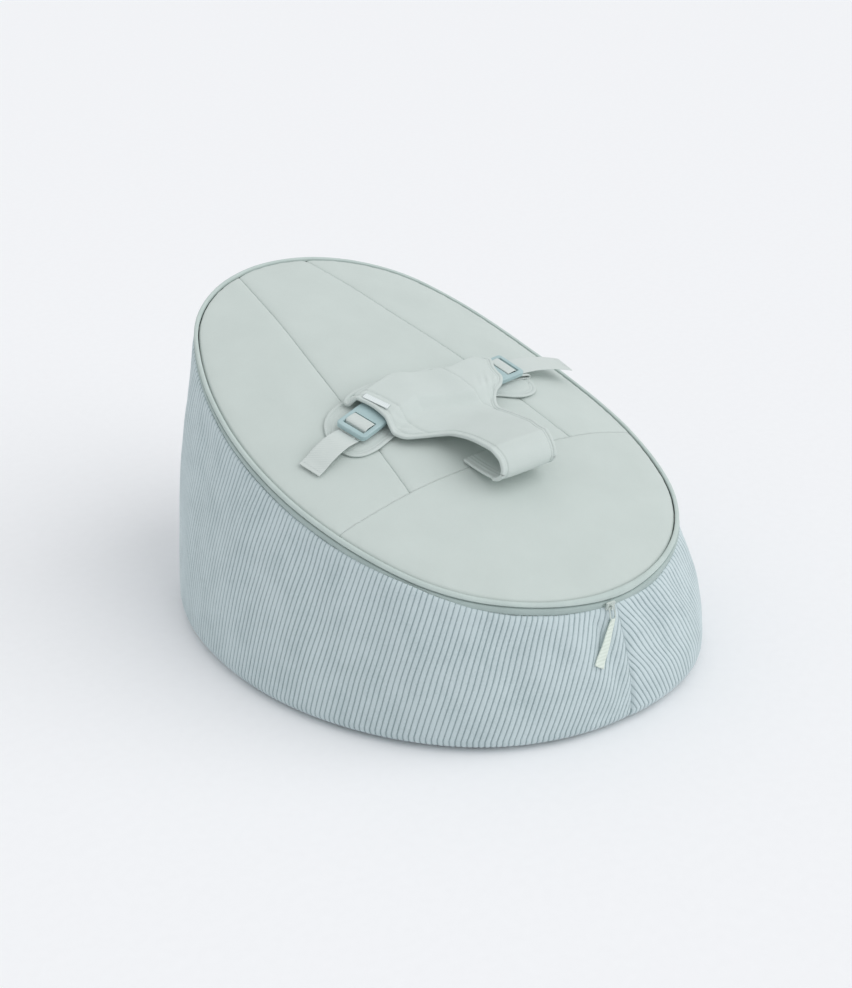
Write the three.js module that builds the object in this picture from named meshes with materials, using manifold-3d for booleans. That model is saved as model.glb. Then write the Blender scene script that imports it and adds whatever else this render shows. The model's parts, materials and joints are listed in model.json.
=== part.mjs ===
// A baby beanbag lounger: a corduroy tub filled with beads, a padded top cover that a zip holds on
// all the way round the rim, and a T-shaped harness with two side-release buckles.
// Units are millimetres. +Z is up, +Y runs from the foot end to the head end and +X is the right
// side seen from the foot. The origin is on the floor under the middle of the base.
import * as THREE from 'three';
import { mergeVertices } from 'three/addons/utils/BufferGeometryUtils.js';
import Module from 'manifold-3d';

const wasm = await Module();
wasm.setup();

// Driving dimensions of the tub
const BASE_LENGTH = 684;
const BASE_WIDTH = 590;
const BASE_FOOT_RADIUS = 255;
const BASE_HEAD_RADIUS = 280;
const EDGE_RADIUS = 16;
const WALL_BULGE = 7;
const RIM_LENGTH = 690;
const RIM_PLAN_LENGTH = 660;
const RIM_WIDTH = 478;
const RIM_FOOT_RADIUS = 215;
const RIM_HEAD_RADIUS = 199;
const RIM_FOOT_HEIGHT = 160;
const RIM_HEAD_HEIGHT = 358;
const RIM_FOOT_SLOPE = THREE.MathUtils.degToRad(13.6);
const RIM_BEND_START = 110;
const RIM_SHIFT = 12;

// Fabric thicknesses and the clearance between neighbouring pieces
const GAP = 0.3;
const SOFT_GAP = 0.8;
const CORDUROY = 3;
const BASE_CLOTH = 2;
const SEAT_CLOTH = 4;
const WADDING = 5.6;
const LINER_CLOTH = 1;

// Rim finish: two binding bands with the zip between them
const BAND_HEIGHT = 10;
const BAND_PROUD = 1;
const BAND_BULGE = 4.4;
const BAND_BACK = 0.6;
const ZIP_SLIT = 2.8;
const TAPE = 0.6;
const TAPE_REACH = 8;
const CHAIN_DEPTH = 2;

// Seat panels
const SEAT_DOME = 32;
const SEAM_SPREAD = 104;
const SEAM_TAPER_SHARE = 0.508;
const FOOT_SEAM_FROM_RIM = 219;
const CROWN = 1;
const CHANNEL_DEPTH = 1.6;
const CHANNEL_WIDTH = 6;
const PANEL_TIP = 2;

// Zip of the inner bag
const LINER_ZIP_LENGTH = 190;
const LINER_ZIP_WIDTH = 22;
const LINER_ZIP_START = 30;
const LINER_COIL_WIDTH = 3;
const LINER_COIL_HEIGHT = 1.2;
const LINER_SLIDER_LENGTH = 9;
const LINER_SLIDER_WIDTH = 7;
const LINER_SLIDER_WALL = 0.8;
const LINER_ZIP_ROOM = 5;

// Zip slider on the rim, its wire bail and the folded ribbon pull
const SLIDER_LENGTH = 11;
const SLIDER_HEIGHT = 9;
const SLIDER_DEPTH = 2.6;
const SLIDER_CLEARANCE = 0.8;
const SLIDER_NECK = 1.4;
const SLIDER_PLAY = 0.5;
const BRIDGE_WIDTH = 2.4;
const BRIDGE_HEIGHT = 6;
const BRIDGE_DEPTH = 3.4;
const BRIDGE_WALL = 0.8;
const BAIL_WIRE = 1.2;
const BAIL_WIDTH = 8;
const BAIL_LENGTH = 15;
const PULL_LENGTH = 57;
const PULL_TOP_WIDTH = 8;
const PULL_WIDTH = 16;
const PULL_THICKNESS = 2;
const PULL_LEAN = THREE.MathUtils.degToRad(20);
const PULL_NOTCH = 4;
const STOP_SIZE = 2.4;
const SLIDER_FROM_SEAM = 20;

// Harness: a T of two padded layers, laid over the seat; places run from the seat's cross seam
const STRAP_WIDTH = 86;
const HARNESS_WIDTH = 232;
const HARNESS_TOP = 152;
const LOOP_START = 8;
const LOOP_REACH = 70;
const LOOP_HEIGHT = 54;
const HARNESS_THICKNESS = 4.5;
const WING_LIFT = 20.5;
const WING_SAG_FROM = 3;
const WING_SAG_TO = 34;
const BINDING_RADIUS = 1.9;
const BUCKLE_X = 79;
const BUCKLE_Y = 111;
const BUCKLE_TURN = THREE.MathUtils.degToRad(12);
const PAD_RADIUS = 42;
const PAD_X = 113;
const PAD_Y = 110;
const PAD_INNER_X = 20;
const PAD_RISE = 10;
const PAD_LIFT = 2.4;
const PAD_THICKNESS = 3;
const LABEL_LENGTH = 33;
const LABEL_WIDTH = 8;
const LABEL_THICKNESS = 0.6;
const LABEL_X = 86;
const LABEL_Y = 109;
const LABEL_TURN = THREE.MathUtils.degToRad(22);

// Side-release buckle and its webbing, in the buckle's own frame: x outwards from the socket's
// mouth, y along the webbing's width and z up from the guard pad
const WEBBING_WIDTH = 30;
const WEBBING = 1.2;
const PLUG_LENGTH = 56;
const PLUG_WIDTH = 42;
const PLUG_THICKNESS = 7;
const PLUG_CORNER = 5;
const PLUG_RAIL = 5.4;
const PLUG_PLATE = 27;
const PLUG_SLOT = 4.6;
const PLUG_BAR = 9;
const PLUG_BAR_THICKNESS = 3.5;
const PLUG_BAR_LIFT = 1;
const PLUG_END_BAR = 6;
const PLUG_BEVEL = 0.9;
const SOCKET_LENGTH = 34;
const SOCKET_THICKNESS = 9.5;
const SOCKET_WALL = 1.8;
const SOCKET_LIFT = 0.5;
const WINDOW_LENGTH = 13;
const WINDOW_START = 7;
const SOCKET_BAR = 3.2;
const SOCKET_BAR_SLOT = 4;
const SOCKET_BAR_THICKNESS = 4.6;
const SOCKET_EAR = 4;
const PRONG_LENGTH = 25;
const PRONG_WIDTH = 3.4;
const PRONG_SHOULDER = 2.4;
const TONGUE_WIDTH = 4;
const FIT_CLEARANCE = 0.5;
const TAIL_LENGTH_LEFT = 62;
const TAIL_LENGTH_RIGHT = 86;
const TAIL_HEM = 8;
const TAIL_SINK = 4;
const TAIL_LEAN_RIGHT = THREE.MathUtils.degToRad(15);

// Numbers of samples: round the tub, between the kept ones of hidden sheets, round cords and rods
// and along them
const RING = 64;
const COARSE = 2;
const CORD_SIDES = 6;
const BAR_SIDES = 8;
const EYE_SIDES = 10;
const ZIP_STEPS = 10;
const CORNER_STEPS = 3;
const PAD_CORD_STEPS = 24;
const HALVINGS = 40;

const HALF_RING = RING / 2;

// An oval of four tangent circular arcs, symmetrical about its long axis
class Oval {
  constructor(length, width, footRadius, headRadius) {
    this.halfLength = length / 2;
    this.footRadius = footRadius;
    this.headRadius = headRadius;
    this.footCentre = footRadius - this.halfLength;
    this.headCentre = this.halfLength - headRadius;
    const halfWidth = width / 2;
    const spacing = this.footCentre - this.headCentre;
    const slope = (footRadius - headRadius) / spacing;
    const level = (this.footCentre ** 2 - this.headCentre ** 2 - footRadius ** 2 + headRadius ** 2)
      / (2 * spacing);
    const reach = level - this.footCentre;
    const b = 2 * (footRadius - halfWidth + reach * slope);
    const c = halfWidth ** 2 + reach ** 2 - footRadius ** 2;
    this.sideRadius = (2 * c) / (Math.sqrt(b * b - 4 * slope * slope * c) - b);
    this.sideX = halfWidth - this.sideRadius;
    this.sideQ = level + slope * this.sideRadius;
    this.footTurn = Math.atan2(this.footCentre - this.sideQ, -this.sideX);
    this.headTurn = Math.atan2(this.headCentre - this.sideQ, -this.sideX);
    this.footArc = footRadius * (this.footTurn + Math.PI / 2);
    this.sideArc = this.sideRadius * (this.headTurn - this.footTurn);
    this.headArc = headRadius * (Math.PI / 2 - this.headTurn);
    this.half = this.footArc + this.sideArc + this.headArc;
  }

  // Point and outward normal at a run from the foot, up the right side
  along(run) {
    if (run <= this.footArc) {
      return this.onArc(0, this.footCentre, this.footRadius, run / this.footRadius - Math.PI / 2);
    }
    if (run <= this.footArc + this.sideArc) {
      const turn = this.footTurn + (run - this.footArc) / this.sideRadius;
      return this.onArc(this.sideX, this.sideQ, this.sideRadius, turn);
    }
    const turn = this.headTurn + (run - this.footArc - this.sideArc) / this.headRadius;
    return this.onArc(0, this.headCentre, this.headRadius, turn);
  }

  onArc(x, q, radius, turn) {
    const nx = Math.cos(turn);
    const nq = Math.sin(turn);
    return { x: x + radius * nx, q: q + radius * nq, nx, nq };
  }

  halfWidthAt(q) {
    const footEnd = this.footCentre + this.footRadius * Math.sin(this.footTurn);
    const headStart = this.headCentre + this.headRadius * Math.sin(this.headTurn);
    if (q < footEnd) {
      return Math.sqrt(Math.max(0, this.footRadius ** 2 - (q - this.footCentre) ** 2));
    }
    if (q > headStart) {
      return Math.sqrt(Math.max(0, this.headRadius ** 2 - (q - this.headCentre) ** 2));
    }
    return this.sideX + Math.sqrt(this.sideRadius ** 2 - (q - this.sideQ) ** 2);
  }

  // The whole outline as evenly spaced samples, from the foot round the right side
  ring(count) {
    return Array.from({ length: count }, (_, i) => {
      const share = (2 * i) / count;
      const s = this.along(this.half * (share <= 1 ? share : 2 - share));
      return share <= 1 ? s : { x: -s.x, q: s.q, nx: -s.nx, nq: s.nq };
    });
  }
}

const rimOval = new Oval(RIM_LENGTH, RIM_WIDTH, RIM_FOOT_RADIUS, RIM_HEAD_RADIUS);
const baseOval = new Oval(BASE_LENGTH, BASE_WIDTH, BASE_FOOT_RADIUS, BASE_HEAD_RADIUS);
const rimRing = rimOval.ring(RING);
const baseRing = baseOval.ring(RING);

// A sample between two neighbours of a ring lies on the straight line that joins them
function ringAt(ring, index) {
  const low = Math.floor(index);
  const t = index - low;
  const a = ring[((low % RING) + RING) % RING];
  const b = ring[(((low + 1) % RING) + RING) % RING];
  const mix = (key) => a[key] + (b[key] - a[key]) * t;
  return { x: mix('x'), q: mix('q'), nx: mix('nx'), nq: mix('nq') };
}

// The rim's surface: a plane at the foot that bends gently upwards towards the head
const footSlope = Math.tan(RIM_FOOT_SLOPE);
const bendLength = RIM_LENGTH - RIM_BEND_START;
const bend = (RIM_HEAD_HEIGHT - RIM_FOOT_HEIGHT - RIM_LENGTH * Math.sin(RIM_FOOT_SLOPE))
  / bendLength ** 2;
const bendAdvance = (RIM_PLAN_LENGTH - RIM_BEND_START * Math.cos(RIM_FOOT_SLOPE)) / bendLength;

function rimSurface(x, q) {
  const run = q + RIM_LENGTH / 2;
  const past = Math.max(0, run - RIM_BEND_START);
  const flat = run - past;
  const y = RIM_SHIFT - RIM_PLAN_LENGTH / 2 + flat * Math.cos(RIM_FOOT_SLOPE) + past * bendAdvance;
  const z = RIM_FOOT_HEIGHT + run * Math.sin(RIM_FOOT_SLOPE) + bend * past ** 2;
  return new THREE.Vector3(x, y, z);
}

// Point beside the rim: outwards in the rim's surface, then straight up
function rimPoint(index, out, up) {
  const s = ringAt(rimRing, index);
  const p = rimSurface(s.x + s.nx * out, s.q + s.nq * out);
  p.z += up;
  return p;
}

// Long-axis coordinate of the rim's surface under a plan position
function rimCoordinate(y) {
  const advance = y - RIM_SHIFT + RIM_PLAN_LENGTH / 2;
  const flat = RIM_BEND_START * Math.cos(RIM_FOOT_SLOPE);
  const run = advance < flat ? advance / Math.cos(RIM_FOOT_SLOPE)
    : RIM_BEND_START + (advance - flat) / bendAdvance;
  return run - RIM_LENGTH / 2;
}

// Height of the padded seat above the rim's surface
function dome(x, q) {
  const along = 1 - (q / rimOval.halfLength) ** 2;
  const across = 1 - (x / Math.max(rimOval.halfWidthAt(q), Math.abs(x), GAP)) ** 2;
  return SEAT_DOME * along * across;
}

function seatPoint(x, q, lift) {
  const p = rimSurface(x, q);
  p.z += dome(x, q) + lift;
  return p;
}

// Top of the seat, its crown included, under a plan position
function seatTop(x, y) {
  const q = rimCoordinate(y);
  return rimSurface(x, q).z + dome(x, q) + CROWN;
}

// A closed body from points and triangles, turned so that its faces point out
function closedBody(points, faces) {
  let volume = 0;
  const cross = new THREE.Vector3();
  for (const [a, b, c] of faces) {
    volume += points[a].dot(cross.crossVectors(points[b], points[c]));
  }
  const wound = volume < 0 ? faces.map(([a, b, c]) => [a, c, b]) : faces;
  const geometry = new THREE.BufferGeometry();
  geometry.setAttribute('position',
    new THREE.Float32BufferAttribute(points.flatMap((p) => p.toArray()), 3));
  geometry.setIndex(wound.flat());
  geometry.computeVertexNormals();
  return geometry;
}

// A slab between two grids of rows and columns; one that wraps joins its last row to its first
function slab(top, bottom, rows, columns, { wrap = false } = {}) {
  const points = [];
  const faces = [];
  const width = columns.length;
  const add = (grid) => rows.map((r) => columns.map((c) => points.push(grid(r, c)) - 1));
  const upper = add(top);
  const lower = add(bottom);
  const quad = (a, b, c, d) => faces.push([a, b, c], [a, c, d]);
  const last = wrap ? rows.length : rows.length - 1;
  for (let r = 0; r < last; r += 1) {
    const n = (r + 1) % rows.length;
    for (let c = 0; c < width - 1; c += 1) {
      quad(upper[r][c], upper[n][c], upper[n][c + 1], upper[r][c + 1]);
      quad(lower[r][c], lower[r][c + 1], lower[n][c + 1], lower[n][c]);
    }
  }
  if (wrap) {
    for (let r = 0; r < last; r += 1) {
      const n = (r + 1) % rows.length;
      quad(upper[r][0], lower[r][0], lower[n][0], upper[n][0]);
      quad(upper[r][width - 1], upper[n][width - 1], lower[n][width - 1], lower[r][width - 1]);
    }
    return closedBody(points, faces);
  }
  const edge = edgeOf(rows.length, width);
  for (let i = 0; i < edge.length; i += 1) {
    const [r, c] = edge[i];
    const [nextR, nextC] = edge[(i + 1) % edge.length];
    quad(lower[r][c], lower[nextR][nextC], upper[nextR][nextC], upper[r][c]);
  }
  return closedBody(points, faces);
}

// The places along the edge of a grid, in order
function edgeOf(rowCount, columnCount) {
  const edge = [];
  for (let r = 0; r < rowCount - 1; r += 1) {
    edge.push([r, 0]);
  }
  for (let c = 0; c < columnCount - 1; c += 1) {
    edge.push([rowCount - 1, c]);
  }
  for (let r = rowCount - 1; r > 0; r -= 1) {
    edge.push([r, columnCount - 1]);
  }
  for (let c = columnCount - 1; c > 0; c -= 1) {
    edge.push([0, c]);
  }
  return edge;
}

const range = (from, to, step = 1) => {
  const list = [];
  for (let v = from; v <= to; v += step) {
    list.push(v);
  }
  return list;
};
const spread = (from, to, count) => range(0, count).map((i) => from + ((to - from) * i) / count);
const allRound = range(0, RING - 1);

// Materials
const FABRIC = { roughness: 0.95, metalness: 0 };
const finish = (color, look = FABRIC) => new THREE.MeshStandardMaterial({ color, ...look });
const looks = {
  corduroy: () => finish(0xafbfc3),
  seat: () => finish(0xc5cecb),
  binding: () => finish(0xb9c6c1),
  harness: () => finish(0xcfd8d7),
  webbing: () => finish(0xc7d0cd),
  ribbon: () => finish(0xd6dfd6),
  label: () => finish(0xe6ebee),
  wadding: () => finish(0xf0f0ec),
  liner: () => finish(0xe4e6e6),
  beads: () => finish(0xf7f7f5, { roughness: 0.8, metalness: 0 }),
  coil: () => finish(0x8f9f9c, { roughness: 0.5, metalness: 0 }),
  plastic: () => finish(0xadc1c4, { roughness: 0.42, metalness: 0 }),
  metal: () => finish(0xcfd3cf, { roughness: 0.35, metalness: 0.8 }),
};

const lounger = new THREE.Group();
function place(name, geometry, material, parent = lounger) {
  const mesh = new THREE.Mesh(geometry, material);
  mesh.name = name;
  parent.add(mesh);
  return mesh;
}

// Boolean work on closed geometries
function toManifold(geometry) {
  const bare = new THREE.BufferGeometry();
  bare.setAttribute('position', geometry.getAttribute('position').clone());
  if (geometry.index) {
    bare.setIndex(geometry.index.clone());
  }
  const merged = mergeVertices(bare);
  return new wasm.Manifold(new wasm.Mesh({
    numProp: 3,
    vertProperties: new Float32Array(merged.getAttribute('position').array),
    triVerts: new Uint32Array(merged.index.array),
  }));
}

function fromManifold(solid) {
  const mesh = solid.getMesh();
  const geometry = new THREE.BufferGeometry();
  geometry.setAttribute('position', new THREE.BufferAttribute(mesh.vertProperties, 3));
  geometry.setIndex(new THREE.BufferAttribute(mesh.triVerts, 1));
  geometry.computeVertexNormals();
  return geometry;
}

const cut = (body, ...tools) => fromManifold(
  tools.reduce((left, tool) => left.subtract(toManifold(tool)), toManifold(body)));
const join = (...parts) => fromManifold(
  parts.map(toManifold).reduce((sum, part) => sum.add(part)));

// A box between two corners
function block(low, high) {
  const size = high.map((v, k) => v - low[k]);
  const geometry = new THREE.BoxGeometry(...size);
  geometry.translate(...low.map((v, k) => v + size[k] / 2));
  return geometry;
}

// Walls of the tub: two corduroy panels, each half of the way round, rolled under at the floor
const wallTopUp = -(BAND_HEIGHT * 2 + ZIP_SLIT + GAP - BAND_PROUD);
const wallShares = [0, 0.2, 0.4, 0.6, 0.8, 1];
const rollTurns = [30, 60, 90].map(THREE.MathUtils.degToRad);
const wallRows = range(0, wallShares.length + rollTurns.length - 1);

function basePoint(index, inset, z) {
  const s = ringAt(baseRing, index);
  return new THREE.Vector3(s.x - s.nx * inset, s.q - s.nq * inset, z);
}

// Point of the wall at a row down its profile, a depth inside its outer face
function wallPoint(index, row, depth) {
  const s = ringAt(baseRing, index);
  if (row < wallShares.length) {
    const share = wallShares[row];
    const top = rimPoint(index, BAND_BULGE + BAND_BACK - depth, wallTopUp);
    const foot = basePoint(index, depth, EDGE_RADIUS + GAP);
    const belly = WALL_BULGE * 4 * share * (1 - share);
    const p = top.lerp(foot, share);
    return p.add(new THREE.Vector3(s.nx * belly, s.nq * belly, 0));
  }
  const turn = rollTurns[row - wallShares.length];
  const radius = EDGE_RADIUS - depth;
  const inset = EDGE_RADIUS - radius * Math.cos(turn);
  return basePoint(index, inset, EDGE_RADIUS + GAP - radius * Math.sin(turn));
}

function sidePanel(from, to) {
  const rows = range(from, to);
  rows[0] += SEAM_SHARE;
  rows[rows.length - 1] -= SEAM_SHARE;
  return slab((r, c) => wallPoint(r, c, 0), (r, c) => wallPoint(r, c, CORDUROY), rows, wallRows);
}
const SEAM_SHARE = GAP / 2 / ((2 * baseOval.half) / RING);
place('side_panel_right', sidePanel(0, HALF_RING), looks.corduroy());
place('side_panel_left', sidePanel(HALF_RING, RING), looks.corduroy());

// Flat and domed sheets that span an oval, in rows across it
const sheetShares = [-1, -0.75, -0.4, 0, 0.4, 0.75, 1];
const ovalSheet = (top, bottom, step) =>
  slab(top, bottom, range(step, HALF_RING - step, step), sheetShares);

function baseSheetPoint(inset, z) {
  return (row, w) => {
    const s = ringAt(baseRing, row);
    return new THREE.Vector3((s.x - s.nx * inset) * w, s.q - s.nq * inset, z);
  };
}

function seatSheetPoint(inset, lift) {
  return (row, w) => {
    const s = ringAt(rimRing, row);
    return seatPoint((s.x - s.nx * inset) * w, s.q - s.nq * inset, lift);
  };
}

const baseInset = EDGE_RADIUS + GAP;
place('base_panel',
  ovalSheet(baseSheetPoint(baseInset, BASE_CLOTH), baseSheetPoint(baseInset, 0), 1),
  looks.corduroy());

// Rim: binding bands, zip tapes and the zip's chain, swept round the whole opening
const bandShares = [0, 0.2, 0.55, 1];
const bandEdgeShare = 0.35;
const bandTurnShare = 0.12;
const bandSpanShare = 0.7;
function rimBand(topUp) {
  const outer = (r, c) => {
    const round = Math.sin(Math.PI * (bandTurnShare + bandSpanShare * c));
    const out = BAND_BACK + BAND_BULGE * (bandEdgeShare + (1 - bandEdgeShare) * round);
    return rimPoint(r, out, topUp - BAND_HEIGHT * c);
  };
  const inner = (r, c) => rimPoint(r, BAND_BACK, topUp - BAND_HEIGHT * c);
  return slab(outer, inner, allRound, bandShares, { wrap: true });
}

function rimStrip(outLow, outHigh, upHigh, upLow) {
  const across = [upHigh, upLow];
  return slab((r, c) => rimPoint(r, outHigh, c), (r, c) => rimPoint(r, outLow, c), allRound, across,
    { wrap: true });
}

const slitTop = BAND_PROUD - BAND_HEIGHT;
const slitLow = slitTop - ZIP_SLIT;
const slitMiddle = (slitTop + slitLow) / 2;
const tapeOut = BAND_BACK - GAP;
place('rim_band_upper', rimBand(BAND_PROUD), looks.binding());
place('rim_band_lower', rimBand(slitLow), looks.binding());
place('zip_tape_upper', rimStrip(tapeOut - TAPE, tapeOut, slitMiddle + TAPE_REACH, slitMiddle + GAP / 2),
  looks.binding());
place('zip_tape_lower', rimStrip(tapeOut - TAPE, tapeOut, slitMiddle - GAP / 2, slitMiddle - TAPE_REACH),
  looks.binding());
place('zip_chain',
  rimStrip(BAND_BACK, BAND_BACK + CHAIN_DEPTH, slitTop - GAP, slitLow + GAP), looks.coil());

// Seat: four sewn panels over a layer of wadding
const seatInset = SOFT_GAP + TAPE - tapeOut;
const seamOffset = (q) => SEAM_SPREAD * (1 - (SEAM_TAPER_SHARE * q) / rimOval.halfLength);
const edgeAt = (row) => {
  const s = ringAt(rimRing, row);
  return { x: s.x - s.nx * seatInset, q: s.q - s.nq * seatInset };
};

// The row at which a rising measure of the rim passes zero
function rowWhere(measure, low, high) {
  let [a, b] = [low, high];
  for (let i = 0; i < HALVINGS; i += 1) {
    const middle = (a + b) / 2;
    [a, b] = measure(middle) < 0 ? [middle, b] : [a, middle];
  }
  return (a + b) / 2;
}
const footSeamQ = FOOT_SEAM_FROM_RIM - RIM_LENGTH / 2;
const footSeamRow = rowWhere((row) => edgeAt(row).q - footSeamQ, 0, HALF_RING);
const sideEndRow = rowWhere((row) => seamOffset(edgeAt(row).q) + PANEL_TIP - edgeAt(row).x,
  HALF_RING / 2, HALF_RING);

// Rows of a panel: its two ends, one close inside each, and the ring's samples between
function panelRows(from, to, closeFrom, closeTo) {
  const spacing = (2 * rimOval.half) / RING;
  const margin = CHANNEL_WIDTH / spacing;
  const inner = range(Math.ceil(from + 2 * margin), Math.floor(to - 2 * margin));
  const rows = [from, ...(closeFrom ? [from + margin] : []), ...inner];
  return [...rows, ...(closeTo ? [to - margin] : []), to];
}

// Crown of a panel: full inside, drawn down into a channel along every seam
function crown(...distances) {
  const rise = distances.reduce((f, d) => f * (1 - Math.exp(-Math.max(0, d) / CHANNEL_WIDTH)), 1);
  return (CHANNEL_DEPTH + CROWN) * rise - CHANNEL_DEPTH;
}

function seatPanel(rows, columns, lowX, highX) {
  const rowRun = (row) => edgeAt(row).q;
  const firstQ = rowRun(rows[0]);
  const lastQ = rowRun(rows[rows.length - 1]);
  const at = (thickness) => (row, w) => {
    const q = rowRun(row);
    const [a, b] = [lowX(row, q), highX(row, q)];
    const x = a + (b - a) * w;
    const puff = thickness ? -thickness : crown(x - a, b - x, q - firstQ, lastQ - q);
    return seatPoint(x, q, puff);
  };
  return slab(at(0), at(SEAT_CLOTH), rows, columns);
}

const halfSeam = GAP / 2;
const seamX = (row, q) => Math.min(seamOffset(q) - halfSeam, edgeAt(row).x);
const centreShares = [0, 0.05, 0.25, 0.5, 0.75, 0.95, 1];
const footShares = [0, 0.03, 0.12, 0.24, 0.38, 0.5, 0.62, 0.76, 0.88, 0.97, 1];
const sideShares = [0, 0.08, 0.3, 0.55, 0.78, 0.95, 1];
const seamRows = (HALF_RING * halfSeam) / rimOval.half;
const centreRows = panelRows(footSeamRow + seamRows, HALF_RING - 1 / 2, true, false);
const sideRows = panelRows(footSeamRow + seamRows, sideEndRow, true, false);
const footRows = panelRows(1 / 2, footSeamRow - seamRows, false, true);
place('seat_centre_panel',
  seatPanel(centreRows, centreShares, (row, q) => -seamX(row, q), seamX), looks.seat());
place('seat_side_panel_right',
  seatPanel(sideRows, sideShares, (row, q) => seamOffset(q) + halfSeam, (row) => edgeAt(row).x),
  looks.seat());
place('seat_side_panel_left',
  seatPanel(sideRows, sideShares, (row) => -edgeAt(row).x, (row, q) => -seamOffset(q) - halfSeam),
  looks.seat());
place('seat_foot_panel',
  seatPanel(footRows, footShares, (row) => -edgeAt(row).x, (row) => edgeAt(row).x), looks.seat());

const waddingTop = -SEAT_CLOTH - SOFT_GAP;
const waddingLow = waddingTop - WADDING;
place('seat_wadding',
  ovalSheet(seatSheetPoint(seatInset, waddingTop), seatSheetPoint(seatInset, waddingLow), COARSE),
  looks.wadding());

// Inner bag: top, wall and base sheets round the bead filling
const linerTopLift = waddingLow - LINER_ZIP_ROOM;
const linerWallInset = seatInset + SOFT_GAP;
const linerCornerInset = EDGE_RADIUS + SOFT_GAP;
const linerFloor = BASE_CLOTH + GAP;
place('liner_top',
  ovalSheet(seatSheetPoint(seatInset, linerTopLift),
    seatSheetPoint(seatInset, linerTopLift - LINER_CLOTH), COARSE), looks.liner());
place('liner_base',
  ovalSheet(baseSheetPoint(linerCornerInset, linerFloor + LINER_CLOTH),
    baseSheetPoint(linerCornerInset, linerFloor), COARSE), looks.liner());

// The inner wall follows the outer one down to the start of the rolled edge
function innerWall(depth, topDrop) {
  return (row, share) => {
    const rim = ringAt(rimRing, row);
    const base = ringAt(baseRing, row);
    const top = seatPoint(rim.x - rim.nx * linerWallInset, rim.q - rim.nq * linerWallInset,
      linerTopLift - LINER_CLOTH - topDrop);
    const inset = linerCornerInset + depth;
    const foot = new THREE.Vector3(base.x - base.nx * inset, base.q - base.nq * inset,
      linerFloor + LINER_CLOTH + GAP);
    const p = top.lerp(foot, share);
    const shift = depth * (1 - share);
    return p.add(new THREE.Vector3(-rim.nx * shift, -rim.nq * shift, 0));
  };
}
const coarseRound = range(0, RING - COARSE, COARSE);
place('liner_wall',
  slab(innerWall(0, GAP), innerWall(LINER_CLOTH, GAP), coarseRound, [0, 1], { wrap: true }),
  looks.liner());
const fillLift = linerTopLift - LINER_CLOTH - SOFT_GAP;
const fillInset = LINER_CLOTH + SOFT_GAP;
place('bead_fill',
  ovalSheet(seatSheetPoint(linerWallInset + fillInset, fillLift),
    baseSheetPoint(linerCornerInset + fillInset, linerFloor + LINER_CLOTH + GAP), COARSE),
  looks.beads());

// Zip of the inner bag: tape and coil along the middle of its top, with a slider that has no pull
function stripOnLiner(halfWidth, lowLift, highLift, fromQ, toQ) {
  const stations = spread(fromQ, toQ, ZIP_STEPS);
  const at = (lift) => (q, side) => {
    const p = seatPoint(0, q, linerTopLift + lift);
    p.x = side * halfWidth;
    return p;
  };
  return slab(at(highLift), at(lowLift), stations, [-1, 1]);
}
const zipEndQ = LINER_ZIP_START + LINER_ZIP_LENGTH;
const linerTapeTop = GAP + TAPE;
place('liner_zip_tape',
  stripOnLiner(LINER_ZIP_WIDTH / 2, GAP, linerTapeTop, LINER_ZIP_START, zipEndQ), looks.liner());
place('liner_zip_coil',
  stripOnLiner(LINER_COIL_WIDTH / 2, linerTapeTop + GAP, linerTapeTop + GAP + LINER_COIL_HEIGHT,
    LINER_ZIP_START, zipEndQ), looks.coil());

// The slider is a small channel that straddles the coil, closed end towards the foot
const linerSliderStart = seatPoint(0, LINER_ZIP_START, linerTopLift + linerTapeTop);
const linerSliderEnd = seatPoint(0, LINER_ZIP_START + LINER_SLIDER_LENGTH,
  linerTopLift + linerTapeTop);
const linerSliderSlope = Math.atan2(linerSliderEnd.z - linerSliderStart.z,
  linerSliderEnd.y - linerSliderStart.y);
const linerCoilRoom = GAP + LINER_COIL_HEIGHT + SLIDER_PLAY;
const linerSliderShape = cut(
  block([-LINER_SLIDER_WIDTH / 2, 0, SLIDER_PLAY],
    [LINER_SLIDER_WIDTH / 2, LINER_SLIDER_LENGTH, linerCoilRoom + 2 * LINER_SLIDER_WALL]),
  block([-LINER_COIL_WIDTH / 2 - SLIDER_PLAY, -GAP, 0],
    [LINER_COIL_WIDTH / 2 + SLIDER_PLAY, LINER_SLIDER_LENGTH + GAP, linerCoilRoom + LINER_SLIDER_WALL]));
const linerSlider = place('liner_zip_slider', linerSliderShape, looks.metal());
linerSlider.position.copy(linerSliderStart);
linerSlider.rotation.x = linerSliderSlope;

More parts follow.
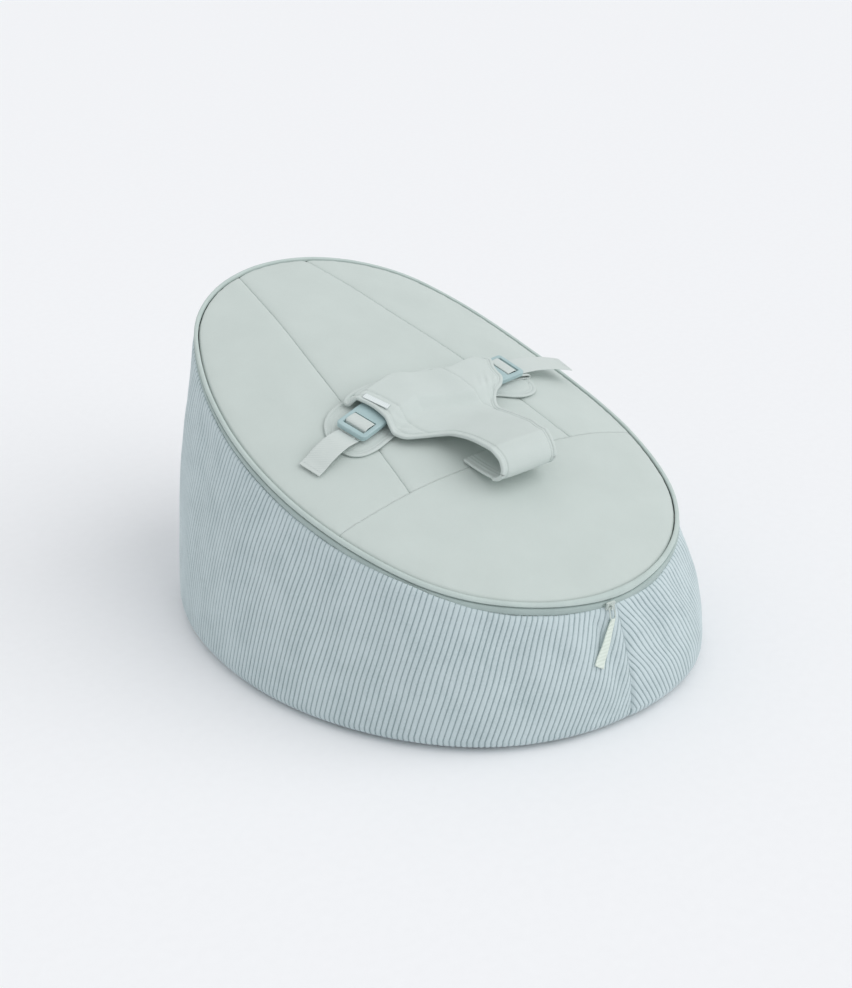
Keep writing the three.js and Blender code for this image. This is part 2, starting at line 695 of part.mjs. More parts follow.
// Rim zip slider beside the middle of the foot: a plate outside the bands, a neck in the slit and a
// bridge that holds the bail
const sliderFrame = new THREE.Group();
const sliderTurn = -SLIDER_FROM_SEAM / RIM_FOOT_RADIUS;
const sliderSpot = rimOval.along(SLIDER_FROM_SEAM);
sliderFrame.position.copy(rimSurface(-sliderSpot.x, sliderSpot.q));
sliderFrame.position.z += slitMiddle;
sliderFrame.rotation.set(RIM_FOOT_SLOPE, 0, sliderTurn);
lounger.add(sliderFrame);
const sliderInner = BAND_BACK + BAND_BULGE + SLIDER_CLEARANCE;
const sliderOuter = sliderInner + SLIDER_DEPTH;
const neckInner = BAND_BACK + CHAIN_DEPTH + SLIDER_CLEARANCE;
const bridgeOuter = sliderOuter + BRIDGE_DEPTH;
place('zip_slider', cut(
  join(
    block([-SLIDER_LENGTH / 2, -sliderOuter, -SLIDER_HEIGHT / 2],
      [SLIDER_LENGTH / 2, -sliderInner, SLIDER_HEIGHT / 2]),
    block([-SLIDER_LENGTH / 4, -sliderInner - GAP, -SLIDER_NECK / 2],
      [SLIDER_LENGTH / 4, -neckInner, SLIDER_NECK / 2]),
    block([-BRIDGE_WIDTH / 2, -bridgeOuter, -BRIDGE_HEIGHT / 2],
      [BRIDGE_WIDTH / 2, -sliderOuter + GAP, BRIDGE_HEIGHT / 2]),
  ),
  block([-BRIDGE_WIDTH, -bridgeOuter + BRIDGE_WALL, -BRIDGE_HEIGHT / 2 + BRIDGE_WALL],
    [BRIDGE_WIDTH, -sliderOuter, BRIDGE_HEIGHT / 2 - BRIDGE_WALL]),
), looks.metal(), sliderFrame);

// Bail and pull hang from the bridge, a little off the wall
const eyeDepth = BRIDGE_DEPTH - BRIDGE_WALL;
const pullFrame = new THREE.Group();
sliderFrame.updateMatrixWorld(true);
pullFrame.position.copy(sliderFrame.localToWorld(new THREE.Vector3(0, -sliderOuter - eyeDepth / 2, 0)));
const wallTop = wallPoint(0, 0, 0);
const wallMiddle = wallPoint(0, Math.floor(wallShares.length / 2), 0);
pullFrame.rotation.set(Math.atan2(wallMiddle.y - wallTop.y, wallTop.z - wallMiddle.z), 0,
  sliderTurn, 'ZYX');
lounger.add(pullFrame);

function roundedRect(width, height, radius) {
  const [w, h] = [width / 2, height / 2];
  const shape = new THREE.Shape();
  shape.moveTo(w, h - radius);
  shape.absarc(w - radius, h - radius, radius, 0, Math.PI / 2);
  shape.absarc(radius - w, h - radius, radius, Math.PI / 2, Math.PI);
  shape.absarc(radius - w, radius - h, radius, Math.PI, 1.5 * Math.PI);
  shape.absarc(w - radius, radius - h, radius, 1.5 * Math.PI, 2 * Math.PI);
  return shape;
}
const flat = (depth) => ({ depth, bevelEnabled: false, curveSegments: CORNER_STEPS });

// Round cord through a list of points
function tube(points, radius, steps) {
  const corners = range(0, CORD_SIDES - 1).map((i) => {
    const turn = (2 * Math.PI * i) / CORD_SIDES;
    return new THREE.Vector2(radius * Math.cos(turn), radius * Math.sin(turn));
  });
  return new THREE.ExtrudeGeometry(new THREE.Shape(corners),
    { steps, bevelEnabled: false, extrudePath: new THREE.CatmullRomCurve3(points) });
}

const bailShape = roundedRect(BAIL_WIDTH, BAIL_LENGTH, BAIL_WIRE * 2);
bailShape.holes.push(roundedRect(BAIL_WIDTH - 2 * BAIL_WIRE, BAIL_LENGTH - 2 * BAIL_WIRE, BAIL_WIRE));
const bail = place('zip_bail', new THREE.ExtrudeGeometry(bailShape, flat(BAIL_WIRE)),
  looks.metal(), pullFrame);
bail.rotation.x = Math.PI / 2;
bail.position.set(0, BAIL_WIRE / 2, BAIL_WIRE / 2 - BAIL_LENGTH / 2);

// The ribbon is folded round the bail's lower bar, leans to one side and ends in a notch
const eyeRadius = BAIL_WIRE / 2 + SLIDER_PLAY;
const eyeZ = BAIL_WIRE - BAIL_LENGTH;
const eyeWidth = BAIL_WIDTH - 4 * BAIL_WIRE;
const eyeOuter = eyeRadius + PULL_THICKNESS / 2;
function crossBar(radius, length, sides) {
  const bar = new THREE.CylinderGeometry(radius, radius, length, sides);
  bar.rotateZ(Math.PI / 2);
  bar.translate(0, 0, eyeZ);
  return bar;
}
const leanAt = (drop) => -Math.tan(PULL_LEAN) * drop;
const ribbonTop = eyeRadius + SLIDER_PLAY;
const bow = PULL_LENGTH / 6;
const ribbonShape = new THREE.Shape([
  [eyeWidth / 2, 0],
  [PULL_TOP_WIDTH / 2 + leanAt(bow), bow],
  [PULL_WIDTH / 2 + leanAt(PULL_LENGTH), PULL_LENGTH],
  [leanAt(PULL_LENGTH), PULL_LENGTH - PULL_NOTCH],
  [-PULL_WIDTH / 2 + leanAt(PULL_LENGTH), PULL_LENGTH],
  [-PULL_TOP_WIDTH / 2 + leanAt(bow), bow],
  [-eyeWidth / 2, 0],
].map(([x, drop]) => new THREE.Vector2(x, -drop)));
const ribbon = new THREE.ExtrudeGeometry(ribbonShape, flat(PULL_THICKNESS));
ribbon.rotateX(Math.PI / 2);
ribbon.translate(0, PULL_THICKNESS / 2, eyeZ - ribbonTop);
place('zip_pull_ribbon', cut(
  join(ribbon, crossBar(eyeOuter, eyeWidth, EYE_SIDES)),
  crossBar(eyeRadius, eyeWidth * 2, BAR_SIDES),
), looks.ribbon(), pullFrame);

// End stop of the zip, beside the closed slider
const stop = place('zip_stop', block([0, -sliderInner, -STOP_SIZE / 2],
  [STOP_SIZE, -BAND_BACK - CHAIN_DEPTH - GAP, STOP_SIZE / 2]), looks.coil(), sliderFrame);
stop.position.x = -SLIDER_LENGTH / 2 - STOP_SIZE - SLIDER_PLAY;

// Harness: heights over the seat
const seamY = rimSurface(0, footSeamQ).y;
const over = (x, y, lift) => new THREE.Vector3(x, y, seatTop(x, y) + lift);

// Outline of the T from the middle of its top edge to the loop: distance down from the top edge,
// half width beyond the strap's, and lift of its underside, as shares of the harness's sizes
const outlineShares = [
  [0.0, 0.23, 0.13], [0.008, 0.62, 0.13], [0.03, 0.81, 0.13], [0.065, 0.92, 0.14],
  [0.1, 0.94, 0.15], [0.15, 0.877, 0.16], [0.21, 0.78, 0.18], [0.28, 0.712, 0.19],
  [0.36, 0.7, 0.2], [0.42, 0.66, 0.21], [0.49, 0.56, 0.25], [0.56, 0.44, 0.31],
  [0.63, 0.26, 0.41], [0.7, 0.075, 0.52], [0.78, 0.0, 0.62], [0.88, 0.0, 0.74],
  [1.0, 0.0, 0.86],
];
const loopTopShare = 0.66;
const loopTopY = LOOP_START - LOOP_REACH * loopTopShare;
const harnessRun = HARNESS_TOP - loopTopY;
const outline = outlineShares.map(([down, beyond, lift]) => ({
  x: STRAP_WIDTH / 2 + beyond * (HARNESS_WIDTH / 2 - STRAP_WIDTH / 2),
  y: seamY + HARNESS_TOP - down * harnessRun,
  lift: lift * LOOP_HEIGHT,
}));

// Outline moved inwards, along its normals
function drawnIn(points, distance) {
  return points.map((p, i) => {
    const before = i > 0 ? points[i - 1] : { x: 0, y: p.y };
    const after = points[Math.min(i + 1, points.length - 1)];
    const along = new THREE.Vector2(after.x - before.x, after.y - before.y).normalize();
    return { ...p, x: p.x + along.y * distance, y: p.y - along.x * distance };
  });
}
const clothOutline = drawnIn(outline, 2 * BINDING_RADIUS + SOFT_GAP + 2 * GAP);
const bindingOutline = drawnIn(outline, BINDING_RADIUS);

// The T sags to the seat in its middle and is held up over the buckles at its wings; past the
// buckles its wings come down to the guard pads, where the two layers are sewn together
const padMiddle = PAD_LIFT + PAD_THICKNESS / 2;
const buckleY = seamY + BUCKLE_Y;
const padY = seamY + PAD_Y;
const socketRun = SOCKET_LENGTH + SOCKET_BAR_SLOT + SOCKET_BAR;
const coveredTo = buckleY + PLUG_WIDTH / 2 + socketRun * Math.sin(BUCKLE_TURN);
function harnessLift(x, station) {
  const wing = THREE.MathUtils.smoothstep(Math.abs(x), WING_SAG_FROM, WING_SAG_TO);
  const past = THREE.MathUtils.smoothstep(station.y, coveredTo, seamY + HARNESS_TOP);
  const sewn = padMiddle + 2 * BINDING_RADIUS + GAP;
  const held = Math.max(station.lift, WING_LIFT + (sewn - WING_LIFT) * past);
  const taper = THREE.MathUtils.smoothstep(station.x, STRAP_WIDTH / 2, BUCKLE_X);
  return station.lift + (held - station.lift) * wing * taper;
}
const harnessShares = [-1, -0.8, -0.5, -0.28, 0, 0.28, 0.5, 0.8, 1];
const harnessPoint = (extra) => (station, w) => {
  const x = station.x * w;
  return over(x, station.y, harnessLift(x, station) + extra);
};
place('harness_front',
  slab(harnessPoint(HARNESS_THICKNESS), harnessPoint(0), clothOutline, harnessShares),
  looks.harness());
const bindingSide = bindingOutline.map((p) =>
  over(p.x, p.y, harnessLift(p.x, p) + HARNESS_THICKNESS / 2));
const mirrored = (points) => points.map((p) => new THREE.Vector3(-p.x, p.y, p.z)).reverse();
place('harness_binding',
  tube([...mirrored(bindingSide), ...bindingSide], BINDING_RADIUS, RING), looks.harness());

// Crotch strap: from the cross seam towards the foot, round a loop and back over itself
const loopShares = [
  [0.657, 0.905], [0.8, 0.875], [0.9, 0.8], [0.95, 0.65], [0.915, 0.49], [0.8, 0.35],
  [0.62, 0.25], [0.4, 0.165], [0.18, 0.1], [0.02, 0.06],
];
const loop = loopShares.map(([reach, height]) => new THREE.Vector2(
  seamY + LOOP_START - reach * LOOP_REACH, height * LOOP_HEIGHT));
const loopAlong = (index) => {
  const next = loop[Math.min(loop.length - 1, index + 1)];
  return next.clone().sub(loop[Math.max(0, index - 1)]).normalize();
};

// One stretch of the strap; each end stays back from its neighbour
const strapShares = [-1, -0.4, 0.4, 1];
function strap(from, to, backFrom, backTo) {
  const at = (side) => (index, w) => {
    const along = loopAlong(index);
    const back = (index === from ? backFrom : 0) - (index === to ? backTo : 0);
    const middle = loop[index].clone().addScaledVector(along, back);
    const half = (side * HARNESS_THICKNESS) / 2;
    return over((STRAP_WIDTH / 2) * w, middle.x + along.y * half, middle.y - along.x * half);
  };
  return slab(at(1), at(-1), range(from, to), strapShares);
}
const foldEnd = 5;
place('crotch_strap_fold', strap(0, foldEnd, SOFT_GAP, GAP), looks.harness());
place('crotch_strap_root', strap(foldEnd, loop.length - 1, GAP, 0), looks.harness());

// One side of the harness, from its guard pad to the loose end of its webbing
const sides = [
  { name: 'left', sign: -1, turn: -BUCKLE_TURN, tail: TAIL_LENGTH_LEFT, lean: 0 },
  { name: 'right', sign: 1, turn: BUCKLE_TURN, tail: TAIL_LENGTH_RIGHT, lean: -TAIL_LEAN_RIGHT },
];
const padOuterX = PAD_X + PAD_RADIUS;
const padTurns = spread(0, Math.PI / 2, 6);

// The T's underside over any place, from its outline
function undersideAt(x, y) {
  const next = Math.max(1, outline.findIndex((p) => p.y < y));
  const [a, b] = [outline[next - 1], outline[next]];
  const share = THREE.MathUtils.clamp((a.y - y) / (a.y - b.y), 0, 1);
  const mix = (from, to) => from + (to - from) * share;
  return harnessLift(x, { x: mix(a.x, b.x), y, lift: mix(a.lift, b.lift) });
}

// The pad lies under the buckle, and rises inside of it to the T's underside
const padShares = [-1, -0.5, 0, 0.5, 1];
function guardPad(sign) {
  const inner = PAD_RADIUS - 2 * BINDING_RADIUS - GAP;
  const flatRows = [PAD_INNER_X, PAD_INNER_X + PAD_RISE, (PAD_INNER_X + PAD_X) / 2];
  const rows = [...flatRows.map((x) => ({ x, half: inner })),
    ...padTurns.map((turn) => ({
      x: PAD_X + inner * Math.sin(turn),
      half: Math.max(inner * Math.cos(turn), inner / 10),
    }))];
  const at = (lift) => (row, w) => {
    const y = padY + row.half * w;
    const raised = undersideAt(row.x, y) - 2 * SOFT_GAP - PAD_THICKNESS + lift - PAD_LIFT;
    return over(sign * row.x, y, row.x > PAD_INNER_X ? lift : Math.max(lift, raised));
  };
  return slab(at(PAD_LIFT + PAD_THICKNESS), at(PAD_LIFT), rows, padShares);
}

function padBinding(sign) {
  const radius = PAD_RADIUS - BINDING_RADIUS;
  const upper = [{ x: PAD_X - radius / 2, y: radius }, ...padTurns.map((turn) => ({
    x: PAD_X + radius * Math.sin(turn), y: radius * Math.cos(turn) }))];
  const lower = upper.slice(0, -1).reverse().map((p) => ({ x: p.x, y: -p.y }));
  const points = [...upper, ...lower].map((p) =>
    over(sign * p.x, padY + p.y, padMiddle));
  return tube(points, BINDING_RADIUS, PAD_CORD_STEPS);
}

// Flat webbing along a side profile, sheared sideways by a lean, thicker over its hem
function webbing(profile, { lean = 0, hem = 0 } = {}) {
  const start = profile[0][0];
  const at = (side) => (index, w) => {
    const [x, z] = profile[index];
    const a = profile[Math.max(0, index - 1)];
    const b = profile[Math.min(profile.length - 1, index + 1)];
    const along = new THREE.Vector2(b[0] - a[0], b[1] - a[1]).normalize();
    const folded = hem && side > 0 && index >= profile.length - hem ? WEBBING : 0;
    const half = (side * WEBBING) / 2 + folded;
    const y = (WEBBING_WIDTH / 2) * w + Math.tan(lean) * Math.max(0, x - start);
    return new THREE.Vector3(x - along.y * half, y, z + along.x * half);
  };
  return slab(at(1), at(-1), range(0, profile.length - 1), [-1, 1]);
}

// Plug: a frame with a plate, a bar that the webbing rolls over and a guide tongue
const plugLift = 2 * WEBBING + 2 * GAP;
const plugTop = plugLift + PLUG_THICKNESS;
const barStart = PLUG_PLATE + PLUG_SLOT;
const endBarStart = PLUG_LENGTH - PLUG_END_BAR;
const plugHalf = PLUG_WIDTH / 2;
const openHalf = plugHalf - PLUG_RAIL;
const cavityHalf = plugHalf - SOCKET_WALL;
const cavityLow = SOCKET_LIFT + SOCKET_WALL;
const cavityHigh = SOCKET_LIFT + SOCKET_THICKNESS - SOCKET_WALL;
const prongLow = cavityLow + FIT_CLEARANCE;
const prongHigh = cavityHigh - FIT_CLEARANCE;
function plug() {
  const shape = new THREE.Shape();
  const inner = PLUG_BEVEL;
  shape.moveTo(inner, plugHalf - inner);
  shape.lineTo(inner, inner - plugHalf);
  shape.lineTo(PLUG_LENGTH - PLUG_CORNER, inner - plugHalf);
  shape.absarc(PLUG_LENGTH - PLUG_CORNER, PLUG_CORNER - plugHalf, PLUG_CORNER - inner,
    -Math.PI / 2, 0);
  shape.absarc(PLUG_LENGTH - PLUG_CORNER, plugHalf - PLUG_CORNER, PLUG_CORNER - inner,
    0, Math.PI / 2);
  const body = new THREE.ExtrudeGeometry(shape, {
    depth: PLUG_THICKNESS - 2 * PLUG_BEVEL, curveSegments: CORNER_STEPS, bevelEnabled: true,
    bevelSegments: 1, bevelSize: PLUG_BEVEL, bevelThickness: PLUG_BEVEL,
  });
  body.translate(0, 0, plugLift + PLUG_BEVEL);
  const framed = cut(body, block([PLUG_PLATE, -openHalf, 0], [endBarStart, openHalf, 2 * plugTop]));
  const barLow = plugLift + PLUG_BAR_LIFT;
  const bar = block([barStart, -openHalf - GAP, barLow],
    [barStart + PLUG_BAR, openHalf + GAP, barLow + PLUG_BAR_THICKNESS]);
  const tongue = block([-PRONG_LENGTH, -TONGUE_WIDTH / 2, prongLow],
    [PLUG_BEVEL + GAP, TONGUE_WIDTH / 2, prongHigh]);
  return join(framed, bar, tongue);
}

// Socket: a flat sleeve with side windows, and a rear bar for the webbing that is sewn to the T
const socketBack = -SOCKET_LENGTH;
const barBack = socketBack - SOCKET_BAR_SLOT - SOCKET_BAR;
const socketMiddle = SOCKET_LIFT + SOCKET_THICKNESS / 2;
function socket() {
  const sleeve = block([socketBack, -plugHalf, SOCKET_LIFT],
    [-GAP, plugHalf, SOCKET_LIFT + SOCKET_THICKNESS]);
  const cavity = block([socketBack + SOCKET_WALL, -cavityHalf, cavityLow],
    [GAP, cavityHalf, cavityHigh]);
  const windows = block([-WINDOW_START - WINDOW_LENGTH, -plugHalf - GAP, cavityLow],
    [-WINDOW_START, plugHalf + GAP, cavityHigh]);
  const low = socketMiddle - SOCKET_BAR_THICKNESS / 2;
  const high = socketMiddle + SOCKET_BAR_THICKNESS / 2;
  const ears = [-1, 1].map((side) => {
    const middle = side * (plugHalf - SOCKET_EAR / 2);
    return block([barBack, middle - SOCKET_EAR / 2, low],
      [socketBack + GAP, middle + SOCKET_EAR / 2, high]);
  });
  const rear = block([barBack, GAP - plugHalf, low], [barBack + SOCKET_BAR, plugHalf - GAP, high]);
  return join(cut(sleeve, cavity, windows), ...ears, rear);
}

// Springy prong with its finger shoulder in the window
const prongOuter = cavityHalf - FIT_CLEARANCE - PRONG_SHOULDER;
function prong(side) {
  const windowEnd = WINDOW_START + WINDOW_LENGTH;
  const points = [
    [-GAP, prongOuter - PRONG_WIDTH], [-GAP, prongOuter],
    [-WINDOW_START, prongOuter],
    [-WINDOW_START - FIT_CLEARANCE, prongOuter + PRONG_SHOULDER],
    [-(WINDOW_START + windowEnd) / 2, prongOuter + PRONG_SHOULDER],
    [-windowEnd - FIT_CLEARANCE, prongOuter + PRONG_SHOULDER / 2],
    [-PRONG_LENGTH, prongOuter - PRONG_WIDTH / 2], [-PRONG_LENGTH, prongOuter - PRONG_WIDTH],
  ];
  const shape = new THREE.Shape(points.map(([x, y]) => new THREE.Vector2(x, side * y)));
  const geometry = new THREE.ExtrudeGeometry(shape, flat(prongHigh - prongLow));
  geometry.translate(0, 0, prongLow);
  return geometry;
}

// Side profiles of the webbing pieces
const tailZ = 1.5 * WEBBING + GAP;
const rollIn = PLUG_PLATE + PLUG_SLOT / 2;
const rollOut = barStart + PLUG_BAR + PLUG_SLOT / 2;
const rollTop = plugTop + WEBBING;
const rollShoulder = rollTop - WEBBING;
const tailStart = PLUG_LENGTH + WEBBING;
const padEdge = padOuterX - BUCKLE_X;
const rollLow = WEBBING + GAP;
const socketLoopBack = barBack - 2 * WEBBING;
const loopHigh = socketMiddle + SOCKET_BAR_THICKNESS / 2 + WEBBING;
const loopLow = socketMiddle - SOCKET_BAR_THICKNESS / 2 - WEBBING;
const slotMiddle = socketBack - SOCKET_BAR_SLOT / 2;
const profiles = {
  roll: [[rollIn, rollLow], [rollIn, plugTop - WEBBING], [rollIn + WEBBING, rollShoulder + GAP],
    [(rollIn + rollOut) / 2, rollTop], [rollOut - WEBBING, rollShoulder + GAP],
    [rollOut, plugTop - WEBBING], [rollOut, tailZ + 2 * WEBBING],
    [rollOut + WEBBING, tailZ], [tailStart - SOFT_GAP, tailZ]],
  socketLoop: [[socketLoopBack, loopLow], [barBack, loopLow],
    [slotMiddle - WEBBING / 2, loopLow], [slotMiddle, loopLow + WEBBING],
    [slotMiddle, loopHigh - WEBBING], [slotMiddle - WEBBING / 2, loopHigh], [barBack, loopHigh],
    [socketLoopBack, loopHigh]],
};

function tailProfile(length) {
  const end = tailStart + length;
  const hemStart = end - TAIL_HEM;
  const low = tailZ - TAIL_SINK;
  return [[tailStart, tailZ], [padEdge, tailZ], [(padEdge + end) / 2, tailZ - TAIL_SINK / 3],
    [hemStart, low], [hemStart + GAP, low], [end, low]];
}

// Load-bearing webbing: over the pad from the roll, round the pad's edge and back beneath it to
// the long seam; places are [distance from the middle, height over the seat]
const padTop = padMiddle + BINDING_RADIUS;
const loadTop = padTop + GAP + WEBBING / 2;
const loadLow = padMiddle - BINDING_RADIUS - GAP - WEBBING / 2;
const loadFold = padOuterX + GAP + WEBBING;
const loadPath = [
  [BUCKLE_X + rollIn + WEBBING, loadTop], [padOuterX - 2 * WEBBING, loadTop],
  [loadFold - WEBBING / 2, loadTop - WEBBING / 2], [loadFold, padTop - WEBBING],
  [loadFold, PAD_LIFT], [loadFold - WEBBING / 2, loadLow + WEBBING / 2],
  [padOuterX - 2 * WEBBING, loadLow], [BUCKLE_X + PLUG_LENGTH / 2, loadLow],
  [SEAM_SPREAD + WEBBING, loadLow],
];
function loadWebbing(sign, y) {
  const at = (side) => (index, w) => {
    const [x, z] = loadPath[index];
    const a = loadPath[Math.max(0, index - 1)];
    const b = loadPath[Math.min(loadPath.length - 1, index + 1)];
    const along = new THREE.Vector2(b[0] - a[0], b[1] - a[1]).normalize();
    const half = (side * WEBBING) / 2;
    return over(sign * (x - along.y * half), y + (WEBBING_WIDTH / 2) * w, z + along.x * half);
  };
  return slab(at(1), at(-1), range(0, loadPath.length - 1), [-1, 0, 1]);
}

for (const { name, sign, turn, tail, lean } of sides) {
  place(`guard_pad_${name}`, guardPad(sign), looks.harness());
  place(`guard_pad_binding_${name}`, padBinding(sign), looks.harness());
  const onPad = padTop + SOFT_GAP;
  const [c, s] = [Math.cos(turn), Math.sin(turn)];
  const mouth = over(sign * BUCKLE_X, buckleY, onPad);
  const outer = over(sign * (BUCKLE_X + PLUG_LENGTH * c), buckleY + PLUG_LENGTH * s, onPad);
  const head = over(sign * (BUCKLE_X - PLUG_WIDTH * s), buckleY + PLUG_WIDTH * c, onPad);
  const xAxis = outer.sub(mouth).normalize();
  const zAxis = xAxis.clone().cross(head.sub(mouth)).multiplyScalar(sign).normalize();
  const yAxis = zAxis.clone().cross(xAxis);
  const frame = new THREE.Group();
  frame.position.copy(mouth);
  frame.quaternion.setFromRotationMatrix(new THREE.Matrix4().makeBasis(xAxis, yAxis, zAxis));
  lounger.add(frame);
  place(`buckle_socket_${name}`, socket(), looks.plastic(), frame);
  place(`buckle_plug_${name}`, plug(), looks.plastic(), frame);
  place(`buckle_prong_head_${name}`, prong(sign), looks.plastic(), frame);
  place(`buckle_prong_foot_${name}`, prong(-sign), looks.plastic(), frame);
  place(`socket_webbing_${name}`, webbing(profiles.socketLoop), looks.webbing(), frame);
  place(`webbing_roll_${name}`, webbing(profiles.roll), looks.webbing(), frame);
  place(`webbing_tail_${name}`, webbing(tailProfile(tail), { lean, hem: 2 }), looks.webbing(),
    frame);
  place(`webbing_load_${name}`, loadWebbing(sign, buckleY + barStart * s), looks.webbing());
}

// Blank sewn label on the left wing
const labelRows = spread(-LABEL_LENGTH / 2, LABEL_LENGTH / 2, 4);
const labelAcross = [-LABEL_WIDTH / 2, LABEL_WIDTH / 2];
function labelPoint(extra) {
  return (u, v) => {
    const x = -LABEL_X - u * Math.sin(LABEL_TURN) + v * Math.cos(LABEL_TURN);
    const y = seamY + LABEL_Y + u * Math.cos(LABEL_TURN) + v * Math.sin(LABEL_TURN);
    return over(x, y, WING_LIFT + HARNESS_THICKNESS + 2 * GAP + extra);
  };
}
place('harness_label',
  slab(labelPoint(LABEL_THICKNESS), labelPoint(0), labelRows, labelAcross), looks.label());

// Centre the whole on the origin, fore and aft
const whole = new THREE.Box3().setFromObject(lounger, true);
lounger.position.y = -(whole.min.y + whole.max.y) / 2;
lounger.updateMatrixWorld(true);

export default lounger;
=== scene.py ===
"""A baby beanbag lounger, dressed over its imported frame.

A corduroy tub filled with beads, a padded top cover held on by a zip round the rim, and a T-shaped
harness with two side-release buckles. Sizes are in millimetres and become metres as each mesh is
made. +Z is up, +X is the right side seen from the foot and +Y runs from the foot to the head.
"""

import json
import logging
from dataclasses import dataclass, field
from enum import Enum

import bmesh
import bpy
import numpy as np
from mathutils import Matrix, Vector

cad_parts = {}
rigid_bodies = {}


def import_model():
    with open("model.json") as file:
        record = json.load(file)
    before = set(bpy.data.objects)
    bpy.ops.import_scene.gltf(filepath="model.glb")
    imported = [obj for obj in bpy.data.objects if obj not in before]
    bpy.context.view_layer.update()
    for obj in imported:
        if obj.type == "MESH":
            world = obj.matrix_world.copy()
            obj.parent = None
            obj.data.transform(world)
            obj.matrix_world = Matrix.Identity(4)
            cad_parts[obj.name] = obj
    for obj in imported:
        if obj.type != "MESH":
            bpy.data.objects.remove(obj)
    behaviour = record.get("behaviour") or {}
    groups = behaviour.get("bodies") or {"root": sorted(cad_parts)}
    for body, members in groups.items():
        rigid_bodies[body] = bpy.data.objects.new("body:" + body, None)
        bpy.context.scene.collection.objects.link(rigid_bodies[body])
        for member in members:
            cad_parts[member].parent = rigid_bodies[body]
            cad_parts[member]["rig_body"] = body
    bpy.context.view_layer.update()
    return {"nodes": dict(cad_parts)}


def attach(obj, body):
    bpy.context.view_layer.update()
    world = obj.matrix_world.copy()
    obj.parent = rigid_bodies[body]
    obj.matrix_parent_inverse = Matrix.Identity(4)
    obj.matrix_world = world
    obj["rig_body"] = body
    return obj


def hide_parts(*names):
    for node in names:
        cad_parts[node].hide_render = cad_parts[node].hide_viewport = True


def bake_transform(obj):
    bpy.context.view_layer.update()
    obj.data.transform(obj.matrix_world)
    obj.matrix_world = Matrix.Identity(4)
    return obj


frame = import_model()
log = logging.getLogger("lounger")

Array = np.ndarray
Tree = bpy.types.NodeTree
Socket = bpy.types.NodeSocket
Pair = tuple[float, float]
Table = tuple[tuple[float, ...], ...]
MM = 0.001
ACROSS = np.array([1.0, 0.0, 0.0])
AHEAD = np.array([0.0, 1.0, 0.0])
# Direction that stands off the seat where the harness lies
SEAT_UP = np.array([0.0, -0.2487, 0.9686])
# About the run round the rim, in millimetres
ROUND_RUN = 1790


class Body(Enum):
    """The moving bodies of the frame that new pieces ride on."""

    LOUNGER = "lounger"
    HARNESS = "harness"
    PULL = "zip_pull"


class Side(Enum):
    """The two sides of the harness, as the sign of their x."""

    LEFT = -1
    RIGHT = 1

    @property
    def word(self) -> str:
        """The side's name as it stands in node names."""
        return self.name.lower()


# Numbers and surfaces


def unit(vectors: Array) -> Array:
    """Vectors along the last axis, each divided by its own length."""
    return vectors / np.maximum(np.linalg.norm(vectors, axis=-1, keepdims=True), 1e-9)


def stacked(*parts: Array) -> Array:
    """Arrays stretched to one shape and set side by side along a new last axis."""
    return np.stack(np.broadcast_arrays(*parts), axis=-1)


def raised(points: Array, rise: Array) -> Array:
    """Points moved straight up."""
    return points + stacked(0 * rise, 0 * rise, rise)


def run_of(path: Array) -> Array:
    """Run along a path up to each of its points."""
    return np.concatenate([[0], np.cumsum(np.linalg.norm(np.diff(path, axis=0), axis=1))])


def bell(offset: Array, width: float) -> Array:
    """Bell of height 1 round an offset of 0: e^-(offset/width)^2."""
    return np.exp(-((offset / width) ** 2))


def fading(distance: Array, reach: float) -> Array:
    """Falls off from 1 at no distance: e^-distance/reach."""
    return np.exp(-distance / reach)


def bells(start: float, place: Array, rows: Table) -> Array:
    """A level with bells on it, each with its middle, its width and its height."""
    total = start
    for middle, width, height in rows:
        total = total + height * bell(place - middle, width)
    return total


def listed(place: Array, table: Table) -> Array:
    """Value at a place, read between the rows of a table of places and values."""
    places, values = zip(*table)
    return np.interp(place, places, values)


def smooth(value: Array, low: float, high: float) -> Array:
    """Smooth step: 0 below low, 1 above high, and 3t^2 - 2t^3 between them."""
    t = np.clip((value - low) / (high - low), 0, 1)
    return t * t * (3 - 2 * t)


def eased(count: int, even: float = 0.35) -> Array:
    """Places from 0 to 1, closer together at both ends.

    Each place is a mix of t and half of 1 - cos(pi t).

    Args:
        count: how many places.
        even: the share of the evenly spaced part.

    Returns:
        The places, in order.
    """
    t = np.linspace(0, 1, count)
    return even * t + (1 - even) * (0.5 - 0.5 * np.cos(np.pi * t))


def through(points: Array, places: Array) -> Array:
    """Smooth line through points, read at places counted in points.

    Each stretch is the cubic whose slope at a point is half of the step between its neighbours.

    Args:
        points: the points, one a row.
        places: where to read the line, from 0 to the number of points less one.

    Returns:
        The points of the line, one a row.
    """
    ends = np.concatenate([2 * points[:1] - points[1:2], points, 2 * points[-1:] - points[-2:-1]])
    low = np.clip(np.floor(places).astype(int), 0, len(points) - 2)
    t = (places - low)[:, None]
    a, b, c, d = (ends[low + k] for k in range(4))
    return b + 0.5 * ((c - a) * t + (2 * a - 5 * b + 4 * c - d) * t**2
                      + (3 * b - a - 3 * c + d) * t**3)


def ripple(along: Array, wavelength: float, seed: float = 0.0) -> Array:
    """Uneven wave: three sines whose lengths have no common measure, between about -1 and 1."""
    turn = 2 * np.pi * along / wavelength
    return (np.sin(turn + seed) + 0.7 * np.sin(1.618 * turn + 2.1 * seed + 1)
            + 0.5 * np.sin(0.618 * turn + 3.7 * seed + 2)) / 2.2


